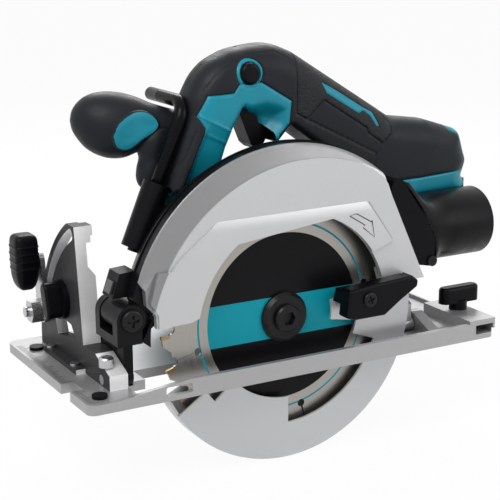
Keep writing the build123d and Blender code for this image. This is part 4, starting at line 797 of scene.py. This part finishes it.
# Hanging hook: a bent rod of one thickness with a rounded end
rod, bend_radius, hook_y, arm_end = 4.0, 11.0, 21.0, 70.5
foot, top = np.array((-88.6, hook_y, 79.5)), np.array((-53.3, hook_y, 163.9))
rod_rise = (top - foot) / np.linalg.norm(top - foot)
arm = np.array((0, 1.0, 0))
arm_length = arm_end - hook_y
bend, cap = np.linspace(0, math.pi / 2, 12), np.linspace(0.1, 1.5, 7)
path = [foot, top - rod_rise * 30]
path += [top - bend_radius * (rod_rise * (1 - math.sin(t)) - arm * (1 - math.cos(t))) for t in bend]
path += [top + arm * (arm_length - short) for short in (18, 3)]
thick = [rod] * len(path) + [rod * math.cos(t) for t in cap]
path = np.array(path + [top + arm * (arm_length - rod + rod * math.sin(t)) for t in cap])
ahead = np.gradient(path, axis=0)
ahead /= np.linalg.norm(ahead, axis=1, keepdims=True)
sideways = np.cross(rod_rise, arm)
points, faces = swept(path * MM, np.array([sideways * r * MM for r in thick]),
                      np.array([np.cross(sideways, a) * r * MM for a, r in zip(ahead, thick)]), 24)
hook = piece("hook_rod", points, faces, gloss_black, "hanging_hook")
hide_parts("hook")

# Grip of the bevel lever: a rounded shield with narrow ribs across it
grip_low, grip_high = (np.array(corner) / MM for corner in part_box("bevel_lever_grip"))
grip_middle, grip_half = (grip_low + grip_high) / 2, (grip_high - grip_low) / 2
shield = smooth_row([  # share of the height, share of the width, from the foot up
    (0, 0.12), (0.03, 0.5), (0.12, 0.78), (0.28, 0.95), (0.5, 1), (0.75, 1), (0.92, 0.94), (0.985, 0.7), (1, 0.3),
], 160)
rib_height, rib_width, rib_levels = 0.4, 0.015, (0.4, 0.53, 0.66, 0.79)
rib = sum(rib_height * np.exp(-((shield[:, 0] - level) / rib_width) ** 2) for level in rib_levels)
wide = shield[:, 1:] * (grip_half[:2] - rib_height) + rib[:, None]
grip_centres = [(*grip_middle[:2], grip_low[2] + h * 2 * grip_half[2]) for h in shield[:, 0]]
points, faces = swept(np.array(grip_centres) * MM, np.stack([wide[:, 0], 0 * rib, 0 * rib], 1) * MM,
                      np.stack([0 * rib, wide[:, 1], 0 * rib], 1) * MM, 48, 0.4)
shield_grip = piece("bevel_grip_shield", points, faces, black, "bevel_clamp")
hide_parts("bevel_lever_grip")

# Base: tick marks along its front edge, and the screw on the foot of the quadrant
base_skin, base_front = skin("base_plate"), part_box("base_plate")[0].x / MM
tick_start, tick_end, tick_gap, tick_half, tick_inset = -16.0, 102.0, 2.0, 0.2, 1.6
long_tick, short_tick, long_every, tick_lift = 6.0, 3.5, 5, 0.06
points, faces = [], []
for i, y in enumerate(np.arange(tick_start, tick_end, tick_gap)):
    near = base_front + tick_inset
    far = near + (short_tick if i % long_every else long_tick)
    corners = [(near, y - tick_half), (far, y - tick_half), (far, y + tick_half), (near, y + tick_half)]
    landed = [base_skin.ray_cast(Vector((x * MM, w * MM, 0.012)), Vector((0, 0, -1)))[0] for x, w in corners]
    if all(landed) and max(p.z for p in landed) - min(p.z for p in landed) < 1e-4:
        faces.append(tuple(range(len(points), len(points) + 4)))
        points += [p + Vector((0, 0, tick_lift * MM)) for p in landed]
piece("base_scale", points, faces, black_steel, "base", smooth=False)

foot_x, foot_y, head_radius, head_height = -115.0, 5.0, 4.4, 5.6
seat = skin("bevel_quadrant").ray_cast(Vector((foot_x * MM, foot_y * MM, 0.05)), Vector((0, 0, -1)))[0].z / MM
levels = [  # share of the head's height, and radius: up its side and down into the socket
    (0, head_radius), (0.86, head_radius), (1, head_radius - 0.7), (1, 2.6), (0.3, 2.3), (0.3, 0.05),
]
rings = [np.array((foot_x, foot_y, seat + head_height * up - 0.2)) for up, _ in levels]
points, faces = swept(np.array(rings) * MM, np.array([(r * MM, 0, 0) for _, r in levels]),
                      np.array([(0, r * MM, 0) for _, r in levels]), 28)
screw = piece("quadrant_foot_screw", points, faces, plated, "base")
screw.data.set_sharp_from_angle(angle=math.radians(32))

# Dust nozzle: a faceted flange on the case, drawn out into a round tube
tube_y, tube_z, tube_radius, tube_bore = 10.0, 72.5, 22.0, 19.0
tube_start, tube_end, flange_y, flange_back = 104.0, 152.5, -12.4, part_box("dust_nozzle")[1].y / MM - 8
flange_ridge = [  # (x, z, y) down the raised edge of the flange, and where it meets the tube: angle and length
    (80.3, 108.7, -13.2, 92, 4), (88.9, 96.4, -14.4, 66, 12), (94.3, 88.4, -14.8, 42, 17), (97.4, 80.3, -15.0, 16, 20),
    (102.9, 71.3, -14.6, -20, 18), (104.3, 58.9, -14.2, -56, 13), (101.6, 52.4, -13.0, -84, 6),
]
flange_left = [(90.2, 55.1), (80.9, 72.7), (72.4, 88.0), (70.7, 106.9), (72.6, 110.0), (75.9, 110.9)]


def on_tube(angle, along, radius=tube_radius):
    """Point of the tube: 0 degrees faces the blade side, 90 is up."""
    turn = math.radians(angle)
    return np.array((tube_start + along, tube_y - radius * math.cos(turn), tube_z + radius * math.sin(turn)))


ridge = [np.array((x, y, z)) for x, z, y, _, _ in flange_ridge]
left = [np.array((x, flange_y, z)) for x, z in flange_left]
# The flange: two flat facets that meet between its corners 3 and 9, and the walls back from its border
points, faces = ridge + left, [(0, 1, 2, 3, 9, 10, 11, 12), (3, 4, 5, 6, 7, 8, 9)]
border = [6, 7, 8, 9, 10, 11, 12, 0]
for a, b in zip(border, border[1:]):
    first = len(points)
    points += [points[a], points[b], points[b] * (1, 0, 1) + (0, flange_back, 0),
               points[a] * (1, 0, 1) + (0, flange_back, 0)]
    faces.append((first, first + 1, first + 2, first + 3))
# The skin that runs from the raised edge over to the tube
spine_count, steps, first = 37, 9, len(points)
spine = smooth_row([np.array((*p, q[3], q[4])) for p, q in zip(ridge, flange_ridge)], spine_count)
for x, y, z, angle, along in spine:
    start, finish = np.array((x, y, z)), on_tube(angle, along)
    pull = np.linalg.norm(finish - start) * np.array((0.45, 0, 0))
    for t in np.linspace(0, 1, steps):
        points.append((1 - t)**3 * start + 3 * t * (1 - t)**2 * (start + pull * 0.5)
                      + 3 * t * t * (1 - t) * (finish - pull) + t**3 * finish)
for i in range(spine_count - 1):
    for k in range(first + i * steps, first + (i + 1) * steps - 1):
        faces.append((k, k + steps, k + steps + 1, k + 1))
tube_length = tube_end - tube_start
tube_rings = [  # length along the tube and radius: out along its skin, round the lip and back up the bore
    (-12, tube_radius), (tube_length - 1, tube_radius), (tube_length - 0.3, tube_radius - 0.3),
    (tube_length, tube_radius - 1), (tube_length, tube_bore + 0.6), (tube_length - 0.6, tube_bore), (8, tube_bore),
]
around, first = 64, len(points)
for along, radius in tube_rings:
    points += [on_tube(360 * k / around, along, radius) for k in range(around)]
for i in range(len(tube_rings) - 1):
    here, there = first + i * around, first + (i + 1) * around
    for k in range(around):
        m = (k + 1) % around
        faces.append((here + k, here + m, there + m, there + k))
faces.append(tuple(range(there, there + around)))
nozzle = piece("dust_nozzle_shell", np.array(points) * MM, faces, black, "saw_head")
nozzle.data.set_sharp_from_angle(angle=math.radians(28))
rounding = nozzle.modifiers.new("broken_edges", "BEVEL")
rounding.width, rounding.segments, rounding.angle_limit = 0.0006, 3, math.radians(28)
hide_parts("dust_nozzle")


# Floor, light and camera
def seen_rays(tree):
    """1 on rays that show the background: from the camera, off a glossy face or through glass."""
    path = add_node(tree, "ShaderNodeLightPath")
    mirrored = calc(tree, "MAXIMUM", path.outputs["Is Glossy Ray"], path.outputs["Is Transmission Ray"])
    return calc(tree, "MAXIMUM", path.outputs["Is Camera Ray"], mirrored)


floor_z, reach = cad_low.z - 0.0005, 6.0
floor_white = 0.95  # share of plain white in what is seen of the floor; the rest keeps the shadow
corners = [(-reach, -reach, floor_z), (reach, -reach, floor_z), (reach, reach, floor_z), (-reach, reach, floor_z)]
mesh = bpy.data.meshes.new("floor")
mesh.from_pydata(corners, [], [(0, 1, 2, 3)])
floor = bpy.data.objects.new("floor", mesh)
bpy.context.scene.collection.objects.link(floor)
floor_mat, tree, bsdf = shader("floor", (0.86, 0.86, 0.86), 0.9, spec=0.0)
glow = add_node(tree, "ShaderNodeEmission")
glow.inputs["Color"].default_value = (1, 1, 1, 1)
blend = add_node(tree, "ShaderNodeMixShader")
tree.links.new(calc(tree, "MULTIPLY", seen_rays(tree), floor_white), blend.inputs["Fac"])
tree.links.new(bsdf.outputs[0], blend.inputs[1])
tree.links.new(glow.outputs[0], blend.inputs[2])
tree.links.new(blend.outputs[0], tree.nodes["Material Output"].inputs["Surface"])
mesh.materials.append(floor_mat)

world = bpy.data.worlds.new("studio")
bpy.context.scene.world = world
world.use_nodes = True
tree = world.node_tree
back = tree.nodes["Background"]
coords = add_node(tree, "ShaderNodeTexCoord")
split = add_node(tree, "ShaderNodeSeparateXYZ")
tree.links.new(coords.outputs["Generated"], split.inputs[0])
sky = spread(tree, split.outputs["Z"], 0.08, 0.42, -0.2, 0.9)  # soft light of the room, stronger from above
level = add_node(tree, "ShaderNodeMix", data_type="FLOAT")
level.inputs["B"].default_value = 1.0
tree.links.new(seen_rays(tree), level.inputs["Factor"])
tree.links.new(sky, level.inputs["A"])
tree.links.new(level.outputs["Result"], back.inputs["Strength"])
back.inputs["Color"].default_value = (1, 1, 1, 1)


def softbox(name, place, target, size, power):
    """Area lamp that looks at a target."""
    light = bpy.data.lights.new(name, "AREA")
    light.shape = "RECTANGLE"
    light.size, light.size_y = size
    light.energy = power
    item = bpy.data.objects.new(name, light)
    bpy.context.scene.collection.objects.link(item)
    item.location = place
    item.rotation_euler = (Vector(target) - Vector(place)).to_track_quat("-Z", "Y").to_euler()


softbox("key", (-0.75, -0.55, 1.15), (0, 0.02, 0.08), (0.9, 0.7), 14.0)
softbox("fill", (0.9, -0.9, 0.55), (0.03, 0, 0.08), (0.8, 0.8), 5.0)
softbox("rim", (0.5, 0.95, 0.9), (0, 0.03, 0.12), (0.9, 0.5), 10.0)

camera = bpy.data.cameras.new("camera")
camera.sensor_width = 36
camera.lens = 97.16
camera.clip_start = 0.05
eye = bpy.data.objects.new("camera", camera)
bpy.context.scene.collection.objects.link(eye)
azimuth, elevation, roll = math.radians(-29.32), math.radians(14.52), math.radians(-0.34)
eye.location = (-0.40205, -0.67554, 0.27700)
right = Vector((math.cos(azimuth), math.sin(azimuth), 0))
level_rear = Vector((math.sin(azimuth), -math.cos(azimuth), 0))
rear = level_rear * math.cos(elevation) + Vector((0, 0, math.sin(elevation)))
axes = Matrix((right, rear.cross(right), rear)).transposed()
eye.rotation_euler = (axes @ Matrix.Rotation(roll, 3, "Z")).to_euler()
bpy.context.scene.camera = eye
bpy.context.scene.view_settings.view_transform = "Standard"
